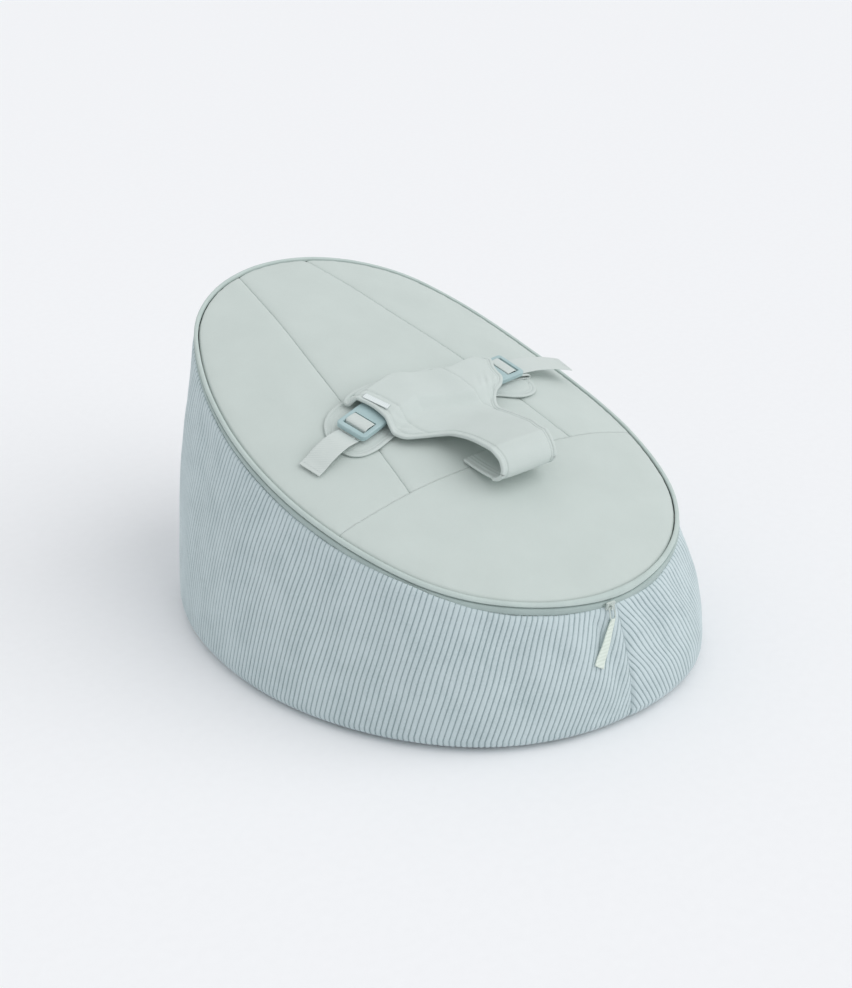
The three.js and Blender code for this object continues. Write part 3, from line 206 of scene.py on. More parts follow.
@dataclass
class Shell:
    """Points and faces of one closed skin, with what its material reads from it.

    Attributes:
        points: the points in millimetres, one a row.
        faces: groups of faces with the same number of corners, each an array of point numbers.
        uv: place of each point on the cloth in metres, or None.
        shade: one number for each point, such as the height on a rib, or None.
    """

    points: Array
    faces: list[Array]
    uv: Array | None = None
    shade: Array | None = None

    def volume(self) -> float:
        """Six times the volume inside, which is below zero when the faces point inwards."""
        total = 0.0
        for group in self.faces:
            corners = self.points[group]
            for k in range(1, group.shape[1] - 1):
                total += np.einsum("ij,ij->", corners[:, 0],
                                   np.cross(corners[:, k], corners[:, k + 1]))
        return total

    def outward(self) -> "Shell":
        """The same skin with all its faces turned to point out."""
        if self.volume() < 0:
            self.faces = [group[:, ::-1] for group in self.faces]
        return self

    def joined(self, *others: "Shell") -> "Shell":
        """This skin and others as one shell of separate skins."""
        shells = [self, *others]
        starts = np.cumsum([0] + [len(s.points) for s in shells])
        faces = [group + start for s, start in zip(shells, starts) for group in s.faces]
        flat = [s.uv if s.uv is not None else np.zeros((len(s.points), 2)) for s in shells]
        tone = [s.shade if s.shade is not None else np.ones(len(s.points)) for s in shells]
        return Shell(np.concatenate([s.points for s in shells]), faces,
                     np.concatenate(flat), np.concatenate(tone))


def grid_faces(numbers: Array, wrap_rows: bool = False, wrap_columns: bool = False) -> Array:
    """Four-cornered faces between the neighbours of a grid of point numbers.

    Args:
        numbers: point numbers in rows and columns.
        wrap_rows: whether the last row also meets the first.
        wrap_columns: whether the last column also meets the first.

    Returns:
        The faces, one a row.
    """
    if wrap_rows:
        numbers = np.concatenate([numbers, numbers[:1]])
    if wrap_columns:
        numbers = np.concatenate([numbers, numbers[:, :1]], axis=1)
    return stacked(numbers[:-1, :-1], numbers[1:, :-1], numbers[1:, 1:],
                   numbers[:-1, 1:]).reshape(-1, 4)


def slab(top: Array, low: Array, uv: Array | None = None, shade: Array | None = None) -> Shell:
    """Closed skin between an upper and a lower grid of points, joined along their edges.

    Args:
        top: grid of upper points.
        low: grid of lower points, of the same shape.
        uv: place on the cloth of each grid point, or None.
        shade: one number for each grid point, or None.

    Returns:
        The skin.
    """
    rows, columns = top.shape[:2]
    upper = np.arange(rows * columns).reshape(rows, columns)
    lower = upper + rows * columns
    edge = np.concatenate([upper[:-1, 0], upper[-1, :-1], upper[:0:-1, -1], upper[0, :0:-1]])
    rim = stacked(edge, np.roll(edge, -1), np.roll(edge, -1) + rows * columns,
                  edge + rows * columns)
    points = np.concatenate([top.reshape(-1, 3), low.reshape(-1, 3)])
    faces = [grid_faces(upper), grid_faces(lower)[:, ::-1], rim[:, ::-1]]
    double = lambda a, width: None if a is None else np.tile(a.reshape(-1, width), (2, 1))
    return Shell(points, faces, double(uv, 2),
                 None if shade is None else np.tile(shade.reshape(-1), 2)).outward()


def sweep(path: Array, outline: Array, side: Array, closed: bool = False,
          uv: bool = True) -> Shell:
    """Closed skin of an outline carried along a path.

    At each place the outline lies across the path: its first number runs along side and its
    second along the cross product of side and the path's direction.

    Args:
        path: the points of the path, one a row.
        outline: the outline's points, one set for all places or one for each.
        side: direction of the outline's first axis, one for all places or one for each.
        closed: whether the path's end meets its start.
        uv: whether to keep run and place round the outline as the cloth's coordinates.

    Returns:
        The skin, with its ends closed by a fan where the path is open.
    """
    count = len(path)
    ahead = np.roll(path, -1, axis=0) - np.roll(path, 1, axis=0) if closed else np.gradient(
        path, axis=0)
    along = unit(ahead)
    across = np.broadcast_to(side, path.shape)
    across = unit(across - along * np.sum(across * along, axis=1, keepdims=True))
    lift = np.cross(across, along)
    shape = np.broadcast_to(outline, (count, *outline.shape[-2:]))
    grid = (path[:, None] + shape[..., :1] * across[:, None] + shape[..., 1:] * lift[:, None])
    corners = shape.shape[1]
    numbers = np.arange(count * corners).reshape(count, corners)
    faces = [grid_faces(numbers, wrap_rows=closed, wrap_columns=True)]
    points = grid.reshape(-1, 3)
    if not closed:
        ends = np.array([grid[0].mean(axis=0), grid[-1].mean(axis=0)])
        points = np.concatenate([points, ends])
        first = stacked(numbers[0], np.roll(numbers[0], -1), count * corners)
        last = stacked(numbers[-1], np.roll(numbers[-1], -1), count * corners + 1)
        faces += [first, last[:, ::-1]]
    cloth = None
    if uv:
        run = run_of(path)
        cloth = stacked(run[:, None], shape[..., 0]).reshape(-1, 2)
        if not closed:
            cloth = np.concatenate([cloth, [[0, 0], [run[-1], 0]]])
        cloth = cloth * MM
    return Shell(points, faces, cloth).outward()


def oval_outline(width: float, height: float, corners: int = 12, square: float = 1.0) -> Array:
    """Outline of a flattened round: cosine and sine, each raised to a power below 1 to square it.

    Args:
        width: full width.
        height: full height.
        corners: number of points.
        square: 1 for an ellipse, and less for a squarer shape.

    Returns:
        The outline's points.
    """
    turn = 2 * np.pi * np.arange(corners) / corners
    bent = lambda v: np.sign(v) * np.abs(v) ** square
    return stacked(bent(np.cos(turn)) * width / 2, bent(np.sin(turn)) * height / 2)


def stitches(path: Array, side: Array, pitch: float = 3.2, length: float = 2.4,
             thread: float = 0.55) -> Shell:
    """Row of short sewn stitches along a path, each a small pointed lozenge with eight faces.

    Args:
        path: the points of the row, one a line.
        side: direction across the row, one for all places or one for each.
        pitch: distance from stitch to stitch.
        length: length of one stitch.
        thread: thickness of the thread.

    Returns:
        The stitches as one shell.
    """
    run = run_of(path)
    places = np.arange(pitch / 2, run[-1], pitch)
    read = lambda rows: stacked(*(np.interp(places, run, column) for column in rows.T))
    centre = read(path)
    ahead = unit(read(np.gradient(path, axis=0)))
    across = unit(read(np.broadcast_to(side, path.shape)))
    lift = np.cross(across, ahead)
    shape = np.array([[-length / 2, 0, 0], [length / 2, 0, 0], [0, thread / 2, 0],
                      [0, -thread / 2, 0], [0, 0, thread / 2], [0, 0, -thread / 2]])
    points = (centre[:, None] + shape[None, :, :1] * ahead[:, None]
              + shape[None, :, 1:2] * across[:, None] + shape[None, :, 2:] * lift[:, None])
    one = np.array([[0, 2, 4], [0, 4, 3], [0, 3, 5], [0, 5, 2], [1, 4, 2], [1, 3, 4], [1, 5, 3],
                    [1, 2, 5]])
    faces = (one[None] + 6 * np.arange(len(places))[:, None, None]).reshape(-1, 3)
    return Shell(points.reshape(-1, 3), [faces]).outward()


# Finishes


def colour(hex_value: str) -> tuple[float, float, float, float]:
    """An sRGB hex colour as linear red, green, blue and an alpha of 1."""
    parts = np.array([int(hex_value[k:k + 2], 16) for k in (0, 2, 4)]) / 255
    linear = np.where(parts <= 0.04045, parts / 12.92, ((parts + 0.055) / 1.055) ** 2.4)
    return (*linear.tolist(), 1.0)


def add(tree: Tree, kind: str, inputs: dict | None = None, **settings: object) -> bpy.types.Node:
    """Adds one node, sets it and links it.

    Args:
        tree: the material's nodes.
        kind: Blender's name of the node.
        inputs: a value or another node's socket for each input, by name or number.
        settings: the node's own properties.

    Returns:
        The node.
    """
    node = tree.nodes.new(kind)
    for name, value in settings.items():
        setattr(node, name, value)
    for key, value in (inputs or {}).items():
        if isinstance(value, Socket):
            tree.links.new(value, node.inputs[key])
        else:
            node.inputs[key].default_value = value
    return node


def noise(tree: Tree, place: Socket, size: float, detail: float, roughness: float = 0.5) -> Socket:
    """Value of a noise whose grains are a size in millimetres."""
    return add(tree, "ShaderNodeTexNoise", {"Vector": place, "Scale": 1 / (size * MM),
                                            "Detail": detail, "Roughness": roughness}).outputs[0]


def mixed(tree: Tree, first: Socket, second: Socket, span: Pair,
          onto: Pair = (0.0, 1.0)) -> Socket:
    """Sum of two values, with a span of it stretched onto another one and held at its ends."""
    total = add(tree, "ShaderNodeMath", {0: first, 1: second}, operation="ADD").outputs[0]
    return mapped(tree, total, span, onto)


def mapped(tree: Tree, value: Socket, span: Pair, onto: Pair = (0.0, 1.0)) -> Socket:
    """A value with a span of it stretched onto another one and held at its ends."""
    return add(tree, "ShaderNodeMapRange", {0: value, 1: span[0], 2: span[1], 3: onto[0],
                                            4: onto[1]}).outputs[0]


@dataclass(frozen=True)
class Finish:
    """A material made of nodes: two tones mixed by a share, a bump and a shader.

    Attributes:
        name: the material's name.
    """

    name: str

    def material(self) -> bpy.types.Material:
        """The material, which is made when it is first asked for."""
        found = bpy.data.materials.get(self.name)
        if found:
            return found
        material = bpy.data.materials.new(self.name)
        material.use_nodes = True
        material.node_tree.nodes.clear()
        self.paint(material.node_tree, add(material.node_tree, "ShaderNodeTexCoord").outputs)
        return material

    def paint(self, tree: Tree, place: bpy.types.bpy_prop_collection) -> None:
        """Adds the nodes, with the cloth's own coordinates and the object's to start from."""
        raise NotImplementedError

    @staticmethod
    def shade(tree: Tree, share: Socket, tones: tuple[str, str], relief: Socket, bump: Pair,
              shader: dict) -> None:
        """Ends the nodes with the two tones, the bump and the shader.

        Args:
            tree: the material's nodes.
            share: share of the second tone.
            tones: sRGB colours at a share of 0 and of 1.
            relief: height that drives the bump.
            bump: strength of the bump, and its height in millimetres.
            shader: the shader's other inputs.
        """
        tint = add(tree, "ShaderNodeMix", {0: share, 6: colour(tones[0]), 7: colour(tones[1])},
                   data_type="RGBA")
        raise_by = add(tree, "ShaderNodeBump", {"Height": relief, "Strength": bump[0],
                                                "Distance": bump[1] * MM})
        skin = add(tree, "ShaderNodeBsdfPrincipled", {
            "Base Color": tint.outputs[2], "Normal": raise_by.outputs[0], **shader})
        add(tree, "ShaderNodeOutputMaterial", {"Surface": skin.outputs[0]})


@dataclass(frozen=True)
class Cloth(Finish):
    """A matt cloth: its yarn gives fine grain, its dye slight clouds and its nap a soft sheen.

    Attributes:
        tone: sRGB colour of the cloth.
        shadow: sRGB colour that its yarn gaps and clouds lean to.
        grain: size of the yarn's grain in millimetres.
        cloud: size of the colour clouds in millimetres.
        depth: height of the grain in millimetres.
        sheen: weight of the nap's sheen.
    """

    tone: str
    shadow: str
    grain: float = 0.9
    cloud: float = 45.0
    depth: float = 0.12
    sheen: float = 0.12

    def paint(self, tree: Tree, place: bpy.types.bpy_prop_collection) -> None:
        """Grain and clouds mix the two tones, and the grain drives the bump."""
        grain = noise(tree, place["Object"], self.grain, 3.0, 0.6)
        cloud = noise(tree, place["Object"], self.cloud, 4.0, 0.55)
        share = mixed(tree, grain, cloud, (0.7, 1.3))
        self.shade(tree, share, (self.shadow, self.tone), grain, (0.6, self.depth), {
            "Roughness": 0.95, "Sheen Weight": self.sheen, "Sheen Roughness": 0.6,
            "Specular IOR Level": 0.25})


@dataclass(frozen=True)
class Corduroy(Finish):
    """Wide-wale cotton corduroy: cut pile stands in rounded ribs with the ground cloth between.

    The crests take the pile's colour and the recesses between them the ground cloth's, darkened
    with painted shade, with short streaks along the rib.

    Attributes:
        name: the material's name.
        crest: sRGB colour of the pile.
        groove: sRGB colour of the ground cloth between the ribs, darkened with painted shade.
        streak: width of the pile's streaks in millimetres.
        stretch: width of a streak as a share of its length.
        cloud: size of the brushed clouds in millimetres.
    """

    name: str = "wide_wale_corduroy"
    crest: str = "C7D5D8"
    # Ground cloth's colour darkened with painted shade for the recess between ribs
    groove: str = "90A3A6"
    streak: float = 0.7
    stretch: float = 0.28
    cloud: float = 38.0

    def paint(self, tree: Tree, place: bpy.types.bpy_prop_collection) -> None:
        """The rib attribute mixes the colour between the ribs, with its painted shade, and the
        crest's, and streaks and clouds break both up.
        """
        rib = add(tree, "ShaderNodeAttribute", attribute_name="rib")
        spaced = add(tree, "ShaderNodeMapping", {"Vector": place["UV"],
                                                 "Scale": (1.0, self.stretch, 1.0)})
        streak = noise(tree, spaced.outputs[0], self.streak, 3.0)
        cloud = noise(tree, place["Object"], self.cloud, 5.0, 0.6)
        swing = mixed(tree, streak, cloud, (0.65, 1.35), (-0.32, 0.26))
        height = add(tree, "ShaderNodeMath", {0: rib.outputs["Fac"], 1: swing}, operation="ADD",
                     use_clamp=True)
        self.shade(tree, height.outputs[0], (self.groove, self.crest), streak, (0.7, 0.25), {
            "Roughness": 0.95, "Sheen Weight": 0.25, "Sheen Roughness": 0.5,
            "Specular IOR Level": 0.2})


@dataclass(frozen=True)
class Webbing(Finish):
    """Woven polyester webbing: twill ribs run across the tape at a slant.

    Attributes:
        tone: sRGB colour of the raised yarn.
        shadow: sRGB colour between the yarns.
        pitch: yarn spacing in millimetres, drawn twice as wide as the real one so that it shows.
        slant: how far the ribs slant, as run along the tape for each step across it.
        cloud: size of the colour clouds in millimetres.
    """

    tone: str
    shadow: str
    pitch: float = 1.3
    slant: float = 0.7
    cloud: float = 9.0

    def paint(self, tree: Tree, place: bpy.types.bpy_prop_collection) -> None:
        """A wave over the tape's own coordinates gives the yarns."""
        spaced = add(tree, "ShaderNodeMapping", {"Vector": place["UV"],
                                                 "Scale": (1.0, self.slant, 1.0)})
        yarn = add(tree, "ShaderNodeTexWave", {
            "Vector": spaced.outputs[0], "Scale": 1 / (self.pitch * MM * 6.283),
            "Distortion": 0.6, "Detail": 1.0}, wave_type="BANDS", bands_direction="DIAGONAL")
        share = mixed(tree, yarn.outputs["Fac"], noise(tree, place["Object"], self.cloud, 3.0),
                      (0.3, 1.3))
        self.shade(tree, share, (self.shadow, self.tone), yarn.outputs["Fac"], (0.6, 0.18), {
            "Roughness": 0.85, "Sheen Weight": 0.1, "Specular IOR Level": 0.3})


@dataclass(frozen=True)
class Hard(Finish):
    """A moulded or cast solid: fine orange peel or sand grain, with slightly uneven gloss.

    Attributes:
        tone: sRGB colour.
        worn: sRGB colour of rubbed places.
        roughness: middle roughness.
        grain: size of the surface grain in millimetres.
        depth: height of the grain in millimetres.
        coat: weight of a lacquer coat.
        rub: size of the rubbed places in millimetres.
    """

    tone: str
    worn: str
    roughness: float = 0.4
    grain: float = 0.5
    depth: float = 0.02
    coat: float = 0.0
    rub: float = 12.0

    def paint(self, tree: Tree, place: bpy.types.bpy_prop_collection) -> None:
        """Noise shifts tone and gloss a little and gives the grain its bump."""
        grain = noise(tree, place["Object"], self.grain, 2.0)
        rub = noise(tree, place["Object"], self.rub, 4.0)
        gloss = mapped(tree, rub, (0.3, 0.7), (self.roughness - 0.06, self.roughness + 0.08))
        self.shade(tree, mapped(tree, rub, (0.35, 0.65)), (self.tone, self.worn), grain,
                   (0.5, self.depth), {"Roughness": gloss, "Coat Weight": self.coat})


CORDUROY = Corduroy()
BASE_TWILL = Cloth("cotton_twill_base", "AFBFC3", "93A4A8", grain=1.1, depth=0.2)
SEAT_JERSEY = Cloth("brushed_cotton_jersey", "C8D2CE", "C2CCC8", grain=0.8, cloud=60)
BIAS_BINDING = Cloth("bias_cut_cotton_binding", "C3D0CC", "B7C5C1", grain=0.7, cloud=30)
# The lower bound edge's cloth, darkened with painted shade for the downward-facing band
SHADED_ZIP_FACING = Cloth("cotton_zip_facing", "AEBDBA", "A1B1AE", grain=0.7, cloud=30)
HARNESS_JERSEY = Cloth("quilted_cotton_jersey", "CBD4D1", "C4CECA", grain=0.8, cloud=50)
STRAP_WEBBING = Webbing("polyester_twill_webbing", "CDD5D2", "C6CFCC", pitch=0.9)
PULL_GROSGRAIN = Webbing("cotton_grosgrain_ribbon", "DEE8DF", "D2DDD3", pitch=1.0, slant=0.0)
LABEL_SATIN = Webbing("woven_satin_label", "DFE7E7", "D5DEDE", pitch=0.6, slant=0.0)
ZIP_TAPE = Webbing("woven_zip_tape", "9CACA9", "8B9B98", pitch=0.9, slant=1.0)
ZIP_COIL = Hard("nylon_zip_coil", "869692", "9AA9A5", roughness=0.5)
BUCKLE_ACETAL = Hard("moulded_acetal", "A4BDBF", "ACC4C6", roughness=0.42, grain=0.35)
SLIDER_LACQUER = Hard("lacquered_zinc_alloy", "C9D3CE", "BEC9C4", roughness=0.32, coat=0.4)
WADDING = Cloth("polyester_wadding", "F0F0EC", "E2E2DC", grain=2.0, depth=0.6, sheen=0.3)
LINER_CALICO = Cloth("calico_liner", "E4E6E6", "D4D8D8", grain=0.8)
BEADS = Hard("expanded_polystyrene", "F7F7F5", "EDEDEA", roughness=0.8, grain=3.0, depth=0.6)


def make_piece(name: str, shell: Shell, finish: Finish) -> bpy.types.Object:
    """Makes a mesh object from a shell, with its material, cloth coordinates and rib heights.

    Args:
        name: the piece's name.
        shell: its skin, in millimetres.
        finish: the finish that gives its material.

    Returns:
        The object, at the origin.
    """
    mesh = bpy.data.meshes.new(name)
    faces = [face for group in shell.faces for face in group.tolist()]
    mesh.from_pydata(shell.points * MM, [], faces)
    if shell.uv is not None:
        corners = np.zeros(len(mesh.loops), np.int32)
        mesh.loops.foreach_get("vertex_index", corners)
        layer = mesh.uv_layers.new(name="cloth")
        layer.data.foreach_set("uv", shell.uv[corners].astype(np.float32).reshape(-1))
    if shell.shade is not None:
        # The rib attribute sets the corduroy's colour, with painted shade between the ribs
        heights = mesh.attributes.new("rib", "FLOAT", "POINT")
        heights.data.foreach_set("value", shell.shade.astype(np.float32))
    mesh.shade_smooth()
    return shown(name, mesh, finish)


def shown(name: str, mesh: bpy.types.Mesh, finish: Finish) -> bpy.types.Object:
    """Puts a mesh into the scene as an object with one material."""
    mesh.materials.clear()
    mesh.materials.append(finish.material())
    piece = bpy.data.objects.new(name, mesh)
    bpy.context.scene.collection.objects.link(piece)
    log.info("%s: %d faces", name, len(mesh.polygons))
    return piece


def copied(node: str, name: str, melt: float = 0.0) -> bpy.types.Mesh:
    """Copy of a CAD node's mesh with its doubled points merged.

    Args:
        node: the CAD node.
        name: name of the copy.
        melt: angle in radians below which faces that meet become one, or 0 for none.

    Returns:
        The copy.
    """
    mesh = bpy.data.meshes.new(name)
    work = bmesh.new()
    work.from_mesh(frame["nodes"][node].data)
    bmesh.ops.remove_doubles(work, verts=work.verts, dist=0.005 * MM)
    if melt:
        bmesh.ops.dissolve_limit(work, angle_limit=melt, verts=work.verts, edges=work.edges)
    work.to_mesh(mesh)
    work.free()
    return mesh


def body_of(node: str) -> str:
    """The body that a CAD node rides on."""
    return frame["nodes"][node]["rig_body"]


def stand_in(piece: bpy.types.Object, node: str, body: str) -> None:
    """Lets a piece take a CAD node's place.

    Args:
        piece: the piece.
        node: the CAD node that it stands for.
        body: the body that it rides on.
    """
    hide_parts(node)
    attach(piece, body)


def merge_close(piece: bpy.types.Object, distance: float) -> None:
    """Merges points that lie closer together than a distance in millimetres."""
    work = bmesh.new()
    work.from_mesh(piece.data)
    bmesh.ops.remove_doubles(work, verts=work.verts, dist=distance * MM)
    work.to_mesh(piece.data)
    work.free()


# The tub's shape


@dataclass
class Oval:
    """An oval of four tangent circular arcs, symmetrical about its long axis.

    The side arc's radius is the one that touches both end arcs at the given width.

    Attributes:
        length: full length.
        width: full width.
        foot_radius: radius of the arc at the foot.
        head_radius: radius of the arc at the head.
    """

    length: float
    width: float
    foot_radius: float
    head_radius: float

    def __post_init__(self) -> None:
        """Works out the arcs' centres, turns and lengths."""
        foot, head, half = self.foot_radius, self.head_radius, self.width / 2
        self.foot_centre = foot - self.length / 2
        self.head_centre = self.length / 2 - head
        spacing = self.foot_centre - self.head_centre
        slope = (foot - head) / spacing
        level = (self.foot_centre**2 - self.head_centre**2 - foot**2 + head**2) / (2 * spacing)
        reach = level - self.foot_centre
        b = 2 * (foot - half + reach * slope)
        c = half**2 + reach**2 - foot**2
        self.side_radius = 2 * c / (np.sqrt(b * b - 4 * slope * slope * c) - b)
        self.side_x = half - self.side_radius
        self.side_q = level + slope * self.side_radius
        self.foot_turn = np.arctan2(self.foot_centre - self.side_q, -self.side_x)
        self.head_turn = np.arctan2(self.head_centre - self.side_q, -self.side_x)
        self.foot_arc = foot * (self.foot_turn + np.pi / 2)
        self.side_arc = self.side_radius * (self.head_turn - self.foot_turn)
        self.half = self.foot_arc + self.side_arc + head * (np.pi / 2 - self.head_turn)

    def round(self, share: Array) -> tuple[Array, Array, Array, Array]:
        """Places and outward directions at shares of the way round.

        Args:
            share: 0 at the foot, rising up the right side to 0.5 at the head and on to 1.

        Returns:
            x, lengthwise place, and the two parts of the outward direction.
        """
        right = share <= 0.5
        run = 2 * self.half * np.where(right, share, 1 - share)
        zones = [run <= self.foot_arc, run <= self.foot_arc + self.side_arc]
        past = run - self.foot_arc
        turn = np.select(zones, [run / self.foot_radius - np.pi / 2,
                                 self.foot_turn + past / self.side_radius],
                         self.head_turn + (past - self.side_arc) / self.head_radius)
        radius = np.select(zones, [self.foot_radius, self.side_radius], self.head_radius)
        centre_x = np.select(zones, [0.0, self.side_x], 0.0)
        centre_q = np.select(zones, [self.foot_centre, self.side_q], self.head_centre)
        sign = np.where(right, 1.0, -1.0)
        nx, nq = np.cos(turn), np.sin(turn)
        return sign * (centre_x + radius * nx), centre_q + radius * nq, sign * nx, nq

    def half_width(self, q: Array) -> Array:
        """Half of the width at lengthwise places, from the arc that spans each place."""
        foot_end = self.foot_centre + self.foot_radius * np.sin(self.foot_turn)
        head_start = self.head_centre + self.head_radius * np.sin(self.head_turn)
        arc = lambda radius, centre: np.sqrt(np.maximum(0, radius**2 - (q - centre) ** 2))
        return np.select([q < foot_end, q > head_start],
                         [arc(self.foot_radius, self.foot_centre),
                          arc(self.head_radius, self.head_centre)],
                         self.side_x + arc(self.side_radius, self.side_q))

    def inside(self, x: Array, q: Array) -> Array:
        """Distance in from the edge: the arc's radius less the distance to its centre."""
        wide = np.abs(x)
        turn = np.arctan2(q - self.side_q, wide - self.side_x)
        side = self.side_radius - np.hypot(wide - self.side_x, q - self.side_q)
        foot = self.foot_radius - np.hypot(wide, q - self.foot_centre)
        head = self.head_radius - np.hypot(wide, q - self.head_centre)
        return np.select([turn < self.foot_turn, turn > self.head_turn], [foot, head], side)


@dataclass
class Tub:
    """The shape that every piece lies on: base, sloping rim and domed seat.

    Attributes:
        base: outline on the floor.
        rim: outline of the opening, measured in the rim's own surface.
        plan_length: the rim's length seen from above.
        foot_height: height of the rim at the foot.
        head_height: height of the rim at the head.
        foot_slope: slope of the rim at the foot, in radians.
        bend_start: run from the foot at which the rim starts to bend upwards.
        rim_shift: how far the rim stands towards the head.
        centre_shift: move that centres the whole lounger on the origin.
        edge_radius: radius of the rolled edge at the floor.
        bulge: how far the wall stands out between rim and floor.
        dome: height of the padded seat over the rim's surface.
        crown: how far a panel stands up between its seams.
        floor_gap: gap between the rolled edge and the floor.
        wall_top: height of the wall's top over the rim's surface.
        wall_out: how far the wall's top stands out from the rim's outline.
        ride: where the wall's top rides up over the lower bound edge: middle and width as shares
            of the way round, and rise.
        lower: shares of the way round at which the wall's top starts to lie lower beside the
            slider's run, lies fully lower, starts to come back and is back.
        lower_by: how much lower it lies there.
        slack: how far the slack right edge hangs down, half way along.
        slack_from: distances from the middle at which the hang starts and is full.
        slack_run: lengthwise place at which it hangs most, and the width of the hang.
        settled: how far the wall stands out near the floor.
        settled_at: where it stands out more or less: middle and width as shares of the way
            round, and amount.
    """

    base: Oval = field(default_factory=lambda: Oval(684, 590, 255, 280))
    rim: Oval = field(default_factory=lambda: Oval(690, 478, 215, 199))
    plan_length: float = 660
    foot_height: float = 160
    head_height: float = 358
    foot_slope: float = np.radians(13.6)
    bend_start: float = 110
    rim_shift: float = 12
    centre_shift: float = -3.8472
    edge_radius: float = 16
    bulge: float = 7
    dome: float = 32
    crown: float = 1
    floor_gap: float = 0.3
    wall_top: float = -13.0
    wall_out: float = 5.0
    ride: tuple[float, float, float] = (0.872, 0.036, 7.0)
    lower: tuple[float, float, float, float] = (0.0, 0.03, 0.2, 0.3)
    lower_by: float = 4.0
    slack: float = 12.0
    slack_from: Pair = (142, 236)
    slack_run: Pair = (40, 165)
    settled: float = 3.5
    settled_at: Table = (
        (0.075, 0.055, 10.0), (0.89, 0.06, 6.0), (0.74, 0.06, -4.0))

    def __post_init__(self) -> None:
        """Works out how the rim bends past its flat foot part."""
        length = self.rim.length
        rest = length - self.bend_start
        rise = self.head_height - self.foot_height - length * np.sin(self.foot_slope)
        self.bend = rise / rest**2
        self.advance = (self.plan_length - self.bend_start * np.cos(self.foot_slope)) / rest
        self.start_y = self.rim_shift - self.plan_length / 2 + self.centre_shift

    def rim_surface(self, x: Array, q: Array) -> Array:
        """Points of the rim's surface: level run, then a rise with the square of the run."""
        run = q + self.rim.length / 2
        past = np.maximum(0, run - self.bend_start)
        y = self.start_y + (run - past) * np.cos(self.foot_slope) + past * self.advance
        z = self.foot_height + run * np.sin(self.foot_slope) + self.bend * past**2
        return stacked(x, y, z - self.hang(x, q))

    def hang(self, x: Array, q: Array) -> Array:
        """How far the slack right edge hangs down at a place of the rim's surface."""
        middle, width = self.slack_run
        return self.slack * smooth(x, *self.slack_from) * bell(q - middle, width)

    def rim_point(self, share: Array, out: Array, up: Array) -> Array:
        """Points beside the rim: outwards in the rim's surface, then straight up."""
        x, q, nx, nq = self.rim.round(np.asarray(share, float))
        return raised(self.rim_surface(x + nx * out, q + nq * out), up)

    def coordinate(self, y: Array) -> Array:
        """Lengthwise place in the rim's surface under a plan place."""
        advance = y - self.start_y
        flat = self.bend_start * np.cos(self.foot_slope)
        run = np.where(advance < flat, advance / np.cos(self.foot_slope),
                       self.bend_start + (advance - flat) / self.advance)
        return run - self.rim.length / 2

    def dome_at(self, x: Array, q: Array) -> Array:
        """Height of the seat's dome: a product of two parabolas, along and across."""
        along = 1 - (q / (self.rim.length / 2)) ** 2
        across = 1 - (x / np.maximum(np.maximum(self.rim.half_width(q), np.abs(x)), 0.3)) ** 2
        return self.dome * along * across

    def seat_point(self, x: Array, q: Array, lift: Array) -> Array:
        """Points over the rim's surface by the dome and a lift."""
        return raised(self.rim_surface(x, q), self.dome_at(x, q) + lift)

    def over(self, x: Array, y: Array, lift: Array) -> Array:
        """Points over the finished seat, from plan places and a lift."""
        x, y, lift = np.broadcast_arrays(np.asarray(x, float), y, lift)
        q = self.coordinate(y)
        points = self.seat_point(x, q, lift + self.crown)
        points[..., 1] = y
        return points

    def wall_edge(self, share: Array) -> Array:
        """Height of the wall's top over the rim's surface, with its ride and its lower part."""
        start, full, back, end = self.lower
        low = smooth(share, start, full) * (1 - smooth(share, back, end))
        ride = bells(0.0, share, (self.ride,)) - self.lower_by * low
        return self.wall_top + ride + 0.5 * ripple(share * ROUND_RUN, 70, 0.3)

    def spread(self, share: Array) -> Array:
        """How far the wall stands out near the floor, where the beads have settled."""
        return bells(self.settled, share, self.settled_at)

    def wall_point(self, share: Array, down: Array, depth: Array) -> Array:
        """Points of the wall.

        From 0 to 1 the profile is a straight line from rim to floor with a parabolic belly, and
        from 1 to 2 a quarter circle that rolls under.

        Args:
            share: share of the way round.
            down: place down the profile, from 0 to 2.
            depth: distance inside the outer face.

        Returns:
            The points.
        """
        share, down, depth = np.broadcast_arrays(share, down, depth)
        x, q, nx, nq = self.base.round(share)
        shift = self.centre_shift

        def foot(inset: Array, height: Array) -> Array:
            """Points at a height, moved in from the outline on the floor."""
            return stacked(x - nx * inset, q - nq * inset + shift, height)

        edge = self.wall_edge(share)
        out = self.wall_out + 0.3 * (edge - self.wall_top)
        top = self.rim_point(share, out - depth, edge)
        part = np.clip(down, 0, 1)[..., None]
        spread = self.spread(share)
        low = self.edge_radius + self.floor_gap
        belly = self.bulge * 4 * part * (1 - part) + spread[..., None] * smooth(part, 0.1, 0.85)
        wall = top + (foot(depth, low) - top) * part + belly * stacked(nx, nq, 0.0)
        turn = np.clip(down - 1, 0, 1) * np.pi / 2
        radius = self.edge_radius - depth
        roll = foot(self.edge_radius - (radius + spread) * np.cos(turn),
                    low - radius * np.sin(turn))
        return np.where((down <= 1)[..., None], wall, roll)


# Corduroy wall


